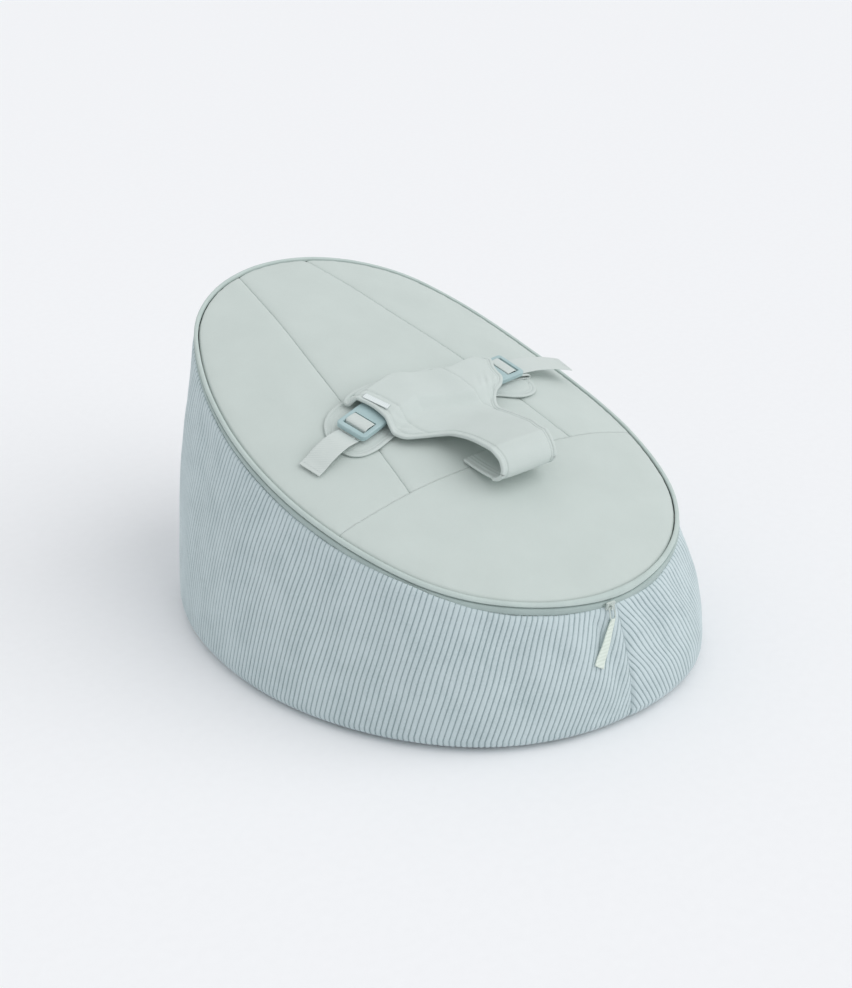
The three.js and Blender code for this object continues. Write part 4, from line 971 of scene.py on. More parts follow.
@dataclass
class CorduroyWall:
    """Two corduroy panels, each half of the way round, sewn together at the foot and the head.

    Attributes:
        tub: the shape that it follows.
        pitch: width of one rib.
        rib: height of a rib over its groove.
        cloth: thickness of the cloth.
        foot_lean: how far the ribs lean away from the foot seam on the right and on the left, as
            tangents.
        head_lean: the same at the head seam.
        fade: run over which the lean fades.
        left_lean: lean that the left panel's ribs keep between the seams, as a tangent.
        left_lean_end: where it fades, as shares of the panel's run.
        places: places across a rib at which its shape is sampled.
        fold_rise: factor on the rise of every fold.
        waver: how far the folds push the ribs sideways, on the right and on the left.
        waver_fade: run from the foot seam over which that push falls to its even part.
        seam_width: run over which the ribs rise from a seam.
        seam_depth: depth of a seam.
        seam_lean: how far the foot seam's top stands to the left of its lower end.
        folds: soft folds, each with its run from the foot, height, slant in degrees, half length,
            half width and rise, for the right panel and then the left.
    """

    tub: Tub
    pitch: float = 6.3
    rib: float = 1.0
    cloth: float = 2.6
    foot_lean: Pair = (np.tan(np.radians(29)), np.tan(np.radians(20)))
    head_lean: float = np.tan(np.radians(8))
    fade: float = 350
    left_lean: float = 0.12
    left_lean_end: Pair = (0.5, 0.85)
    places: tuple[float, ...] = (0, 0.06, 0.13, 0.26, 0.5, 0.74, 0.87, 0.94)
    fold_rise: float = 1.5
    waver: Pair = (2.4, 0.8)
    waver_fade: float = 260
    seam_width: float = 2.5
    seam_depth: float = 1.6
    seam_lean: float = 10.0
    folds: tuple[Table, ...] = (
        ((40, 110, -30, 70, 14, -2.6), (85, 120, -42, 80, 15, 2.4), (120, 95, -40, 90, 16, -2.8),
         (175, 130, -35, 90, 17, 2.4), (230, 120, -20, 90, 20, -2.4), (300, 60, 15, 80, 22, 2.0),
         (420, 140, -15, 110, 24, -2.2), (560, 170, 12, 120, 26, 2.2), (760, 210, -8, 130, 28, -2),
         (900, 150, 10, 120, 26, 2.0)),
        ((30, 105, 12, 70, 9, -2.2), (62, 95, 20, 80, 15, 1.6), (150, 90, 24, 90, 22, -1.8),
         (255, 100, 16, 100, 26, 1.8), (380, 110, 28, 110, 24, -2.0), (520, 150, -14, 120, 26, 2.0),
         (640, 190, 10, 130, 24, -2.2), (740, 230, -10, 130, 24, 2.2), (850, 230, 14, 130, 26, -2),
         (940, 160, -12, 120, 24, 1.8)))

    def lean(self, run: Array, sign: int) -> Array:
        """Lean of the ribs: falls off from each seam with opposite signs, to an even lean left."""
        half = self.tub.base.half
        start, end = self.left_lean_end
        even = 0.0 if sign > 0 else self.left_lean * (1 - smooth(run, start * half, end * half))
        return (even + self.foot_lean[0 if sign > 0 else 1] * fading(run, self.fade)
                - self.head_lean * fading(half - run, self.fade))

    def height(self, run: Array, down: Array, sign: int) -> Array:
        """Height over the rolled edge at a run and a place down the wall."""
        share = run / (2 * self.tub.base.half)
        share = share if sign > 0 else 1 - share
        top = self.tub.rim_point(share, 0, self.tub.wall_edge(share))[..., 2]
        return (1 - np.clip(down, 0, 1)) * (top - self.tub.edge_radius)

    def fold_at(self, run: Array, height: Array, sign: int) -> Array:
        """Soft folds: a sum of slanted bell-shaped ridges and hollows."""
        total = 0.5 * ripple(run + 0.4 * height, 150, sign) + 0.4 * ripple(
            height * 1.3 - run * 0.3, 120, 2 * sign)
        for place, level, slant, length, width, rise in self.folds[0 if sign > 0 else 1]:
            c, s = np.cos(np.radians(slant)), np.sin(np.radians(slant))
            along = (height - level) * c + (run - place) * s
            across = (run - place) * c - (height - level) * s
            total = total + self.fold_rise * rise * np.exp(
                -(along / length) ** 2 - (across / width) ** 2)
        return total

    def pushed(self, number: Array, height: Array, sign: int) -> Array:
        """Sideways push of the ribs: an uneven wave up the wall that moves on along it."""
        waver = self.waver[0 if sign > 0 else 1] * (0.35 + 0.65 * fading(number, self.waver_fade))
        return waver * ripple(height + 0.35 * number, 88, 1.3 * sign) * smooth(height, 5, 60)

    def panel(self, sign: int) -> Shell:
        """One panel: columns follow the ribs and are cut off at the seams.

        A rib's number is its run plus its lean times the height, so the run of each grid point
        is found by putting run = number - lean(run) height(run) again until it stays.

        Args:
            sign: 1 for the right panel and -1 for the left.

        Returns:
            The panel's skin, ribbed outside and plain inside.
        """
        half = self.tub.base.half
        ribs = np.arange(int(half / self.pitch) + 1) * self.pitch
        numbers = (ribs[:, None] + np.array(self.places) * self.pitch).reshape(-1)
        numbers = np.append(numbers[numbers < half - 0.5], half)[:, None]
        wall = np.concatenate([[0, 0.004, 0.009, 0.017], 0.028 + 0.972 * eased(36, 0.7),
                               1 + np.linspace(0, 1, 8)[1:]])
        down = np.concatenate([wall, wall[::-8]])[None, :]
        inner = np.concatenate([np.zeros(len(wall), bool), np.ones(len(wall[::-8]), bool)])
        run = numbers + 0 * down
        for _ in range(30):
            height = self.height(run, down, sign)
            pushed = self.pushed(numbers, height, sign)
            run = np.clip(numbers - self.lean(run, sign) * height - pushed, 0, half)
        height = self.height(run, down, sign)
        number = run + self.lean(run, sign) * height + self.pushed(numbers, height, sign)
        phase = (number / self.pitch) % 1
        near = np.minimum(phase, 1 - phase)
        crest = (1 - bell(near, 0.1)) * (0.86 + 0.14 * np.sin(np.pi * phase))
        seam = fading(np.minimum(run, half - run), self.seam_width)
        relief = self.rib * (crest - 0.6) * (1 - 0.6 * seam) - self.seam_depth * seam
        top_gather = np.exp(-np.clip(down, 0, 1) * 14)
        below = np.clip(down, 0, 1) * self.height(run, 0 * down, sign)
        relief = relief + 0.5 * top_gather * ripple(run, 13, sign) - 2.4 * fading(below, 1.5)
        folded = self.fold_at(run, height, sign) * np.clip(down * 8, 0, 1) * (down <= 1)
        folded = folded * (1 - smooth(down, 0.8, 1.0) * 0.7) * (1 - seam)
        depth = np.where(inner[None, :], self.cloth - folded, -(relief + folded))
        share = run / (2 * half)
        lean = self.seam_lean / (2 * half) * (1 - np.clip(down, 0, 1)) * bell(run, 150)
        share = ((share if sign > 0 else 1 - share) - lean) % 1.0
        points = self.tub.wall_point(share, down, depth)
        count, rows = run.shape
        grid = np.arange(count * rows).reshape(count, rows)
        faces = [grid_faces(grid, wrap_columns=True), grid[:1], grid[-1:, ::-1]]
        cloth = stacked(number, height).reshape(-1, 2) * MM
        # The rib share sets the pile's colour: low between the ribs, where that colour carries
        # painted shade, and raised near the wall's top, which draws the top ribs lighter
        shade = np.where(inner[None, :], 0.4, crest + 0.15 * fading(below, 7)).reshape(-1)
        return Shell(points.reshape(-1, 3), faces, cloth, shade).outward()

    def build(self) -> None:
        """Makes both panels and the floor panel."""
        for side in Side:
            piece = make_piece(f"corduroy_panel_{side.word}", self.panel(side.value), CORDUROY)
            merge_close(piece, 0.01)
            stand_in(piece, f"side_panel_{side.word}", Body.LOUNGER.value)
        stand_in(make_piece("floor_panel", self.floor(), BASE_TWILL), "base_panel",
                 Body.LOUNGER.value)

    def floor(self) -> Shell:
        """Floor panel: rows across the base's oval, flat, with a slight sag in its rim."""
        inset = self.tub.edge_radius + self.tub.floor_gap
        share = np.linspace(0.004, 0.496, 90)[:, None]
        x, q, nx, nq = self.tub.base.round(share)
        w = np.linspace(-1, 1, 60)[None, :]
        place_x = (x - nx * inset) * w
        place_y = q - nq * inset + self.tub.centre_shift + 0 * w
        edge = self.tub.base.inside(place_x, q + 0 * w) - inset
        drawn = fading(edge, 8)
        return slab(stacked(place_x, place_y, 2.0 - 0.5 * drawn),
                    stacked(place_x, place_y, 0.3 * drawn), stacked(place_x, place_y) * MM)


# Seat


@dataclass
class Seat:
    """Four sewn panels of brushed jersey over wadding, drawn down into channels at the seams.

    Attributes:
        tub: the shape that it follows.
        seam_spread: distance of the long seams from the middle, half way along.
        seam_taper: how much closer they come towards the head, as a share.
        foot_seam: run of the cross seam from the foot.
        cloth: thickness of a panel.
        channel: depth of the channel at a seam.
        channel_width: distance over which a panel rises from its seam.
        inset: distance of the seat's edge from the rim's outline.
        gap: clearance between panels.
        fill: how full the padding is; not used.
    """

    tub: Tub
    seam_spread: float = 104
    seam_taper: float = 0.508
    foot_seam: float = 219
    cloth: float = 4
    channel: float = 1.9
    channel_width: float = 5
    inset: float = 2.8
    gap: float = 0.3
    fill: float = 0.7

    def __post_init__(self) -> None:
        """Works out where the cross seam meets the rim."""
        self.foot_q = self.foot_seam - self.tub.rim.length / 2
        share = np.linspace(0, 0.5, 4000)
        edge = self.edge(share)
        self.foot_share = float(np.interp(self.foot_q, edge[1], share))
        gap = self.seam_x(edge[1]) + 2 - edge[0]
        late = share > 0.3
        self.side_share = float(np.interp(0, gap[late], share[late]))

    def seam_x(self, q: Array) -> Array:
        """Distance of the long seams from the middle: falls evenly towards the head."""
        return self.seam_spread * (1 - self.seam_taper * q / (self.tub.rim.length / 2))

    def edge(self, share: Array) -> tuple[Array, Array]:
        """The seat's edge on the right: the rim's outline moved in."""
        x, q, nx, nq = self.tub.rim.round(share)
        return x - nx * self.inset, q - nq * self.inset

    def surface(self, x: Array, q: Array) -> Array:
        """Lift of the cloth over the dome.

        Every seam and the rim draw it down, puckers run along the seams and fade away from them,
        and slow waves stand for the beads beneath.
        """
        seam = np.abs(np.abs(x) - self.seam_x(q))
        seam = np.where(q > self.foot_q, seam, 1e3)
        cross = np.abs(q - self.foot_q)
        rim = np.maximum(0, self.tub.rim.inside(x, q) - self.inset)
        rise = np.ones_like(x + q)
        for distance, share in ((seam, 0.8), (cross, 0.2), (rim, 0.8)):
            rise = rise * (1 - share * fading(distance, self.channel_width))
        lift = (self.channel + self.tub.crown) * rise - self.channel
        lift = lift - 0.7 * fading(seam, 0.9) - 1.6 * bell(rim, 1.1)
        pucker = (0.35 * ripple(q, 19, 1.3) * fading(seam, 9)
                  + 0.35 * ripple(x, 17, 0.4) * fading(cross, 9)
                  + 0.45 * ripple(np.arctan2(q, x) * 230, 16, 2.2) * fading(rim, 7))
        slow = 1.1 * ripple(x + 0.35 * q, 210, 0.7) + 1.0 * ripple(q - 0.3 * x, 260, 1.9)
        slow = slow * (1 - fading(rim, 40))
        return lift + pucker + slow

    def panel(self, share: Array, low_x: Array, high_x: Array) -> Shell:
        """One panel between two curves of x, in rows at shares of the way round the rim."""
        _, q = self.edge(share)
        q = q[:, None]
        across = eased(84, 0.3)[None, :]
        x = low_x[:, None] + (high_x - low_x)[:, None] * across
        top = self.tub.seat_point(x, q + 0 * x, self.surface(x, q))
        low = self.tub.seat_point(x, q + 0 * x, np.full_like(x, -self.cloth))
        return slab(top, low, stacked(x, q) * MM)

    def build(self) -> None:
        """Makes the four panels and lays them on the rim."""
        half_gap = self.gap / 2
        step = half_gap / (2 * self.tub.rim.half)
        rows = self.foot_share + step + (0.4985 - self.foot_share) * eased(150, 0.5)
        edge_x, edge_q = self.edge(rows)
        inner = np.minimum(self.seam_x(edge_q) - half_gap, edge_x)
        panels = {"centre": self.panel(rows, -inner, inner)}
        rows = self.foot_share + step + (self.side_share - self.foot_share - step) * eased(130, 0.5)
        edge_x, edge_q = self.edge(rows)
        seam = self.seam_x(edge_q) + half_gap
        panels["side_right"] = self.panel(rows, seam, edge_x)
        panels["side_left"] = self.panel(rows, -edge_x, -seam)
        rows = 0.0015 + (self.foot_share - step - 0.0015) * eased(90, 0.5)
        edge_x, _ = self.edge(rows)
        panels["foot"] = self.panel(rows, -edge_x, edge_x)
        nodes = {"centre": "seat_centre_panel", "side_right": "seat_side_panel_right",
                 "side_left": "seat_side_panel_left", "foot": "seat_foot_panel"}
        for word, shell in panels.items():
            stand_in(make_piece(f"seat_panel_{word}", shell, SEAT_JERSEY),
                     nodes[word], Body.LOUNGER.value)


# Rim


@dataclass
class Rim:
    """Two bound edges with the zip's slit, tapes and chain between them, all round the opening.

    Attributes:
        tub: the shape that it follows.
        back: distance of the zip's coil from the rim's outline.
        slit: height of the slit's middle over the rim's surface, away from the foot.
        slider_dip: width as a share of the way round, and height, of the slit's dip at the foot.
        slit_rise: where the slit rises left of the slider: middle and width as shares of the way
            round, and rise.
        crest: height over the slit from which on a profile keeps level along the rim.
        samples: number of places round the opening.
        upper: profile of the upper edge, with its distances out and its heights.
        lower: profile of the lower edge.
    """

    tub: Tub
    back: float = 0.6
    slit: float = -4.4
    slider_dip: Pair = (0.024, -2.6)
    slit_rise: tuple[float, float, float] = (0.935, 0.03, 0.9)
    crest: float = 2.5
    samples: int = 640
    upper: Table = (
        (-1.6, 1.6), (-1.6, 3.6), (-1.4, 4.7), (-0.6, 5.3), (0.6, 5.5), (1.9, 5.2), (2.9, 4.4),
        (3.5, 3.3), (3.7, 2.3), (3.4, 1.3), (2.6, 0.8), (0.9, 0.7), (-0.4, 0.8), (-1.4, 1.2))
    lower: Table = (
        (2.2, -0.8), (3.3, -1.1), (4.0, -1.9), (4.3, -3.4), (4.1, -5.8), (3.2, -8.2), (2.2, -10.2),
        (1.9, -12.5), (1.8, -14.6), (1.3, -15.6), (0.3, -15.8), (0.3, -1.2))

    def level(self, share: Array) -> Array:
        """Height of the slit: the upper edge is deeper at the slider and shallow beside it."""
        width, dip = self.slider_dip
        start = self.slit + dip * bell(np.minimum(share, 1 - share), width)
        return bells(start, share, (self.slit_rise,))

    def ring(self, out: Array, up: Array) -> Shell:
        """A profile swept round the opening, with no ends.

        Args:
            out: distances out from the rim's outline, one for each corner of the profile.
            up: heights over the slit, one for each corner; the high ones keep to the rim.

        Returns:
            The skin.
        """
        share = (np.arange(self.samples) / self.samples)[:, None]
        lift = up + np.where(up < self.crest, self.level(share), self.slit)
        points = self.tub.rim_point(share + 0 * out, out + 0 * share, lift + 0 * share)
        grid = np.arange(points.shape[0] * points.shape[1]).reshape(points.shape[:2])
        run = share * 2 * self.tub.rim.half
        cloth = stacked(run, up + 0 * share).reshape(-1, 2) * MM
        return Shell(points.reshape(-1, 3), [grid_faces(grid, True, True)], cloth).outward()

    def bound_edge(self, profile: Table) -> Shell:
        """A bound edge: a rounded profile carried round, with fine gathers along it.

        Args:
            profile: its corners, as distance out from the rim's outline and height over its
                slit; the last two are its flat back.

        Returns:
            The skin.
        """
        corners = np.array(profile)
        front = through(corners[:-2], np.linspace(0, len(corners) - 3, 26))
        corners = np.concatenate([front, corners[-2:]])
        run = (np.arange(self.samples) / self.samples)[:, None] * 2 * self.tub.rim.half
        soft = np.concatenate([np.sin(np.linspace(0, np.pi, 26)), [0, 0]])[None, :]
        gather = (0.14 * ripple(run, 11, corners[0, 1]) + 0.25 * ripple(run, 120, 0.8)) * soft
        return self.ring(corners[None, :, 0] + gather, corners[None, :, 1])

    def chain(self) -> Shell:
        """The zip's coil: a flat strip whose face swells once for each turn of the coil."""
        samples = 3600
        share = (np.arange(samples) / samples)[:, None]
        tooth = np.sin(2 * np.pi * np.arange(samples) / 4)[:, None]
        out = np.array([[0, 1.2, 1.9, 1.9, 1.2, 0]]) + self.back
        swell = np.array([[0, 0.2, 0.35, 0.35, 0.2, 0]]) * tooth
        up = self.level(share) + np.array([[0.6, 0.6, 0.3, -0.3, -0.6, -0.6]])
        points = self.tub.rim_point(share + 0 * out, out + swell, up)
        grid = np.arange(samples * 6).reshape(samples, 6)
        return Shell(points.reshape(-1, 3), [grid_faces(grid, True, True)]).outward()

    def build(self) -> None:
        """Makes the bound edges, the tapes and the chain."""
        tape_out = np.array([0.3, 0.3, -0.3, -0.3])[None, :]
        down = np.array([0.15, 6, 6, 0.15])[None, :]
        upper_tape, lower_tape = np.minimum(down, 2.4), -down
        pieces = [
            ("bound_edge_upper", self.bound_edge(self.upper), BIAS_BINDING, "rim_binding",
             "rim_band_upper"),
            ("bound_edge_lower", self.bound_edge(self.lower), SHADED_ZIP_FACING, "rim_binding",
             "rim_band_lower"),
            ("zip_tape_top", self.ring(tape_out, upper_tape), ZIP_TAPE, "zip_tape",
             "zip_tape_upper"),
            ("zip_tape_bottom", self.ring(tape_out, lower_tape), ZIP_TAPE, "zip_tape",
             "zip_tape_lower"),
            ("zip_coil_round_rim", self.chain(), ZIP_COIL, "zip_coil", "zip_chain"),
        ]
        for name, shell, finish, slot, node in pieces:
            stand_in(make_piece(name, shell, finish), node, Body.LOUNGER.value)


# Zip pull


@dataclass
class ZipPull:
    """Ribbon folded round the slider's bail, leaning to one side, with a skew end.

    Attributes:
        eye: place of the bail's upper bar.
        slope: angle at which the ribbon hangs off the wall, in radians.
        turn: turn about the upright, as the slider's place round the rim gives it.
        fold_drop: drop from the eye to the ribbon's fold.
        length: length of the ribbon below its fold.
        top_width: width just below the fold.
        width: width at the end.
        lean: lean to the left, in radians.
        skew: how much longer its left edge is, as a share.
        thickness: thickness of the two layers.
        gathered: half widths where it is gathered at the fold, at shares of the way down.
        swell: factors on the thickness there, at shares of the way down.
    """

    eye: tuple[float, float, float] = (-20.872, -330.331, 147.548)
    slope: float = np.radians(14.2)
    turn: float = -20 / 215
    fold_drop: float = 13.8
    length: float = 48
    top_width: float = 8
    width: float = 15
    lean: float = np.radians(29)
    skew: float = -0.075
    thickness: float = 2
    gathered: Table = ((0, 1.7), (0.03, 3.2), (0.14, 3.9))
    swell: Table = ((0, 1.25), (0.04, 1.25), (0.09, 0.7), (0.12, 1))

    def placed(self, local: Array) -> Array:
        """Points of the pull's own frame, turned about x, then about z, and moved to the eye."""
        c, s = np.cos(self.slope), np.sin(self.slope)
        x, y, z = local[..., 0], local[..., 1], local[..., 2]
        out, up = y * c + z * s, z * c - y * s
        c, s = np.cos(self.turn), np.sin(self.turn)
        return stacked(x * c - out * s, x * s + out * c, up) + np.array(self.eye)

    def ribbon(self) -> Shell:
        """The ribbon: rows down its length and columns across its width, with a soft curl."""
        down = np.linspace(0, 1, 40)[:, None]
        w = np.linspace(-1, 1, 17)[None, :]
        drop = down * self.length * (1 - self.skew * w)
        half = listed(down, (*self.gathered, (0.2, self.top_width / 2), (1, self.width / 2)))
        x = half * w - np.tan(self.lean) * drop
        curl = 0.9 * np.sin(3.0 * down * np.pi) * down - 0.7 * w**2 * down
        z = -self.fold_drop - drop
        thin = self.thickness / 2 * (1 - 0.35 * np.abs(w) ** 6)
        thin = thin * listed(down, self.swell)
        front = stacked(x, -thin + curl, z)
        back = stacked(x, thin + curl, z)
        ribbon = slab(self.placed(front), self.placed(back), stacked(-z, half * w) * MM)
        row = front[5, 2:15] - np.array([0, 0.25, 0])
        row[:, 2] = row[:, 2].mean()
        return ribbon.joined(stitches(self.placed(row), self.placed(np.array([0, 0, 1.0]))
                                      - np.array(self.eye), 1.6, 1.2, 0.4))

    def build(self) -> None:
        """Makes the ribbon and its row of stitches."""
        stand_in(make_piece("pull_ribbon", self.ribbon(), PULL_GROSGRAIN),
                 "zip_pull_ribbon", Body.PULL.value)


# Harness


@dataclass
class Harness:
    """The T: two padded layers with bound edges, laid over the seat and looped at the crotch.

    Places run from the middle and from the seat's cross seam.

    Attributes:
        seat: the seat that it lies on.
        loop_start: place where the strap leaves the cross seam.
        loop_reach: how far the loop reaches towards the foot.
        loop_height: height of the loop over the seat.
        thickness: thickness of the padded layers.
        wing_lift: height at which the buckles hold up the wings.
        sewn_lift: height of the wings' top edge, where they are sewn to the guard pads.
        sag: share of the wings' lift that the middle lacks.
        sag_half: distance from the middle at which the wings have their full lift.
        socket: place of the sockets under the wings: distance from the middle and from the cross
            seam, half width, and tangent of their turn.
        inner_end: distance of the sockets' inner ends from the middle.
        drape: run in which the cloth comes down past a socket, at places across.
        drape_foot: run in which it comes down past a socket's foot end.
        binding: width and height of the bound edge.
        insets: distances in from the outline, of the cloth's edge, of the binding's middle and of
            the edge of the strap's root.
        line: depth of the stitched line, and its distance from the cloth's edge.
        root_rows: distances of the root's sewn rows from its edge.
        edges: rows of the T from its top to its loop: left edge, right edge, and the lift between
            the buckles.
        loop: stations of the loop: reach and height, as shares.
        fold_end: station at which the front layer of the loop ends.
        sway: how far the loop's middle line lies to the right, at its stations.
        loop_widths: half width of the loop at its stations, narrowed a little by the fold.
        seams: the seams that join the wings to the middle piece, each with its depth and its
            places: distance from the cross seam and from the middle.
        gathers: places from the middle and from the cross seam at which the buckles draw the cloth
            together, each with the direction across the gathers.
    """

    seat: Seat
    loop_start: float = 8
    loop_reach: float = 70
    loop_height: float = 54
    thickness: float = 4.5
    wing_lift: float = 20.5
    sewn_lift: float = 8.0
    sag: float = 0.32
    sag_half: float = 36
    socket: tuple[float, float, float, float] = (79, 111, 21.6, 0.2126)
    inner_end: float = 38
    drape: Table = ((-20, 12.0), (20, 7.0))
    drape_foot: float = 16
    binding: Pair = (5.2, 4.8)
    insets: tuple[float, float, float] = (2.2, 1.6, 1.5)
    line: Pair = (1.1, 5.0)
    root_rows: tuple[float, ...] = (5.0, 10.0, 15.0)
    edges: Table = (
        (24, 150.5, 24, 147, 8), (48, 152.5, 45, 141.5, 8), (70, 153.5, 65, 137, 8),
        (88, 152, 83, 133, 8), (101, 148, 95, 129, 8), (107, 142, 101, 124, 8.5),
        (105, 135, 99, 117.5, 9), (98.5, 124, 94, 108.5, 9.5), (92.5, 107, 91, 98, 10),
        (91, 90, 90, 89.5, 10), (91.5, 77, 83, 82, 9.5), (90, 67.5, 70, 76, 9.5),
        (83, 57, 60, 66, 10), (66, 47, 53, 55, 12), (51, 37, 49.5, 45, 15.5),
        (43, 27, 49, 33, 20.5), (40, 15, 50, 19, 26), (39, 3, 51, 3, 31.5),
        (38.5, -11, 50.5, -11, 37), (38.5, -26, 47, -26, 42), (39.5, -38.2, 46, -38.2, 46.4))
    loop: Table = (
        (0.657, 0.905), (0.8, 0.875), (0.9, 0.8), (0.95, 0.65), (0.915, 0.49), (0.8, 0.35),
        (0.62, 0.25), (0.4, 0.165), (0.18, 0.1), (0.02, 0.06))
    fold_end: float = 5.0
    sway: Table = ((0, 3.2), (2.5, 1.5), (5, -1.0), (9, 0))
    loop_widths: Table = ((0, 42.8), (1.6, 40.3), (6, 40.3), (9, 41.5))
    seams: tuple[tuple[float, Table], ...] = (
        (2.0, ((37, -54), (53, -60), (69, -65), (93, -68), (113, -74), (129, -82), (150, -92))),
        (1.7, ((55, 43), (69, 38), (84, 36), (104, 34), (118, 29), (150, 22))))
    gathers: Table = (
        (-80, 71, 0.6, 0.8), (66, 82, 0.85, -0.5))

    def __post_init__(self) -> None:
        """Works out the cross seam's place and the loop's stations in millimetres."""
        self.tub = self.seat.tub
        self.seam_y = float(self.tub.rim_surface(0.0, self.seat.foot_q)[1])
        loop = np.array(self.loop)
        self.loop_points = stacked(self.seam_y + self.loop_start - loop[:, 0] * self.loop_reach,
                                   loop[:, 1] * self.loop_height)

    def stations(self, side: Side, inset: float, count: int) -> Array:
        """One half of the outline, smoothed and moved in along the edge's own normal.

        Args:
            side: which half.
            inset: distance in from the edge.
            count: number of rows.

        Returns:
            Distance from the middle, lengthwise place and lift, one row each.
        """
        rows = np.array(self.edges)
        first = 0 if side is Side.LEFT else 2
        edge = stacked(rows[:, first], self.seam_y + rows[:, first + 1], rows[:, 4])
        edge = through(edge, np.linspace(0, len(rows) - 1, count))
        along = unit(np.gradient(edge[:, :2], axis=0))
        edge[:, 0] += along[:, 1] * inset
        edge[:, 1] -= along[:, 0] * inset
        return edge

    def lift(self, x: Array, y: Array, own: Array) -> Array:
        """Lift of the underside.

        The sockets hold the wings up, the middle sags a little between them, and the cloth comes
        down to the guard pads past a socket's head end and to its own lift past the foot end.

        Args:
            x: place across, positive to the right.
            y: lengthwise place.
            own: the lift that the cloth has away from the sockets.

        Returns:
            The lift over the seat.
        """
        mouth, level, half, turn = self.socket
        across, end = y - self.seam_y, self.inner_end
        tilt = turn * (mouth - end)
        level = level + np.where(np.abs(x) > end, turn * (x - np.sign(x) * mouth), -tilt * x / end)
        past = smooth(across, level + half - 1, level + half + listed(x, self.drape))
        before = smooth(across, level - half - 1 - self.drape_foot, level - half - 1)
        wing = 1 - self.sag + self.sag * smooth(np.abs(x), 0, self.sag_half)
        low = own + (self.sewn_lift - own) * past
        return low + (self.wing_lift - low) * wing * before * (1 - past)

    def across_loop(self, places: Array, inset: float, w: Array) -> tuple[Array, Array]:
        """Rows across the loop, from edge to edge.

        Args:
            places: stations of the loop, one for each row.
            inset: distance of the row's ends from the loop's edge.
            w: places in a row, from -1 to 1.

        Returns:
            Distance from the loop's middle line, and from the row's end.
        """
        half = listed(places, self.loop_widths)[:, None] - inset
        return half * w, half * (1 - np.abs(w))

    def loop_side(self, places: Array, x: Array, off: Array) -> Array:
        """Points of the loop, off its middle line by a distance along its own normal."""
        middle = through(self.loop_points, places)
        ahead = unit(through(self.loop_points, np.clip(places + 0.05, 0, 9))
                     - through(self.loop_points, np.clip(places - 0.05, 0, 9)))
        y = middle[:, :1] + ahead[:, 1:] * off
        lift = middle[:, 1:] - ahead[:, :1] * off
        return self.tub.over(x + listed(places, self.sway)[:, None] + 0 * y, y, lift)

    def stitched(self, inset: Array) -> Array:
        """Depth of the stitched line at a distance from the cloth's edge."""
        depth, place = self.line
        return depth * bell(inset - place, 1.0)

    def puff(self, inset: Array) -> Array:
        """Thickness of the padding, which is less near the cloth's edge."""
        return self.thickness * (0.74 + 0.4 * (1 - fading(inset, 9)))

    def relief(self, x: Array, y: Array, inset: Array) -> Array:
        """Depth of the sewn lines and gathers in the front layer.

        Two slanting seams join the wings to the middle piece, a line of stitching follows the
        bound edge, and short waves fade away from the places that the buckles draw together.

        Args:
            x: place across, positive to the right.
            y: lengthwise place.
            inset: distance from the bound edge.

        Returns:
            The depth.
        """
        across = y - self.seam_y
        total = self.stitched(inset)
        for depth, line in self.seams:
            off = np.abs(x - listed(across, line))
            total = total + depth * fading(off, 1.5) * smooth(across, 34, 50)
        for middle, level, turn_x, turn_y in self.gathers:
            wave = np.sin(2 * np.pi * ((x - middle) * turn_x + (across - level) * turn_y) / 9.5)
            total = total + 0.9 * wave * np.exp(
                -((x - middle) / 15) ** 2 - ((across - level) / 13) ** 2)
        return total

    def cloth(self) -> Shell:
        """The T and the front of its loop, as one padded cloth in rows from top to loop.

        Columns close up towards both edges, where the padding is sewn thin.
        """
        w = np.linspace(-1, 1, 151)
        w = (np.sign(w) * np.abs(w) ** 0.85)[None, :]
        inset_by = self.insets[0]
        right, left = (self.stations(side, inset_by, 200) for side in (Side.RIGHT, Side.LEFT))
        middle = (right + left) / 2
        edge = np.where((w > 0)[..., None], right[:, None], left[:, None])
        y = middle[:, None, 1] + (edge[..., 1] - middle[:, None, 1]) * np.abs(w)
        x = edge[..., 0] * w
        own = middle[:, None, 2] + 0 * x
        under = self.lift(x, y, own)
        inset = edge[..., 0] * (1 - np.abs(w))
        top = self.tub.over(x, y, under + self.puff(inset) - self.relief(x, y, inset))
        low = self.tub.over(x, y, under)
        fold = np.linspace(0, self.fold_end, 46)[2:]
        half, inset = self.across_loop(fold, inset_by, w)
        puff = self.puff(inset) - self.stitched(inset)
        outer = self.loop_side(fold, half, puff - self.thickness / 2)
        inner = self.loop_side(fold, half, -self.thickness / 2 + 0 * half)
        top = np.concatenate([top, outer])
        low = np.concatenate([low, inner])
        run = run_of(top[:, top.shape[1] // 2])
        return slab(top, low, stacked(top[..., 0], run[:, None]) * MM)

    def edge_half(self, side: Side) -> Array:
        """Path of one half of the bound edge, from the middle of the top edge to the fold."""
        inset_by = self.insets[1]
        edge = self.stations(side, inset_by, 190)
        top = sum(self.stations(each, inset_by, 190)[0, 1] for each in Side) / 2
        start = np.linspace(0, 1, 14)[:-1]
        lead = stacked(start * edge[0, 0], top + (edge[0, 1] - top) * start, edge[0, 2])
        edge = np.concatenate([lead, edge])
        x = side.value * edge[:, 0]
        under = self.lift(x, edge[:, 1], edge[:, 2])
        run = self.tub.over(x, edge[:, 1], under + self.thickness / 2)
        fold = np.linspace(0, self.fold_end + 0.25, 42)[2:]
        half, _ = self.across_loop(fold, inset_by, np.array([[side.value]]))
        return np.concatenate([run, self.loop_side(fold, half, 0 * half)[:, 0]])

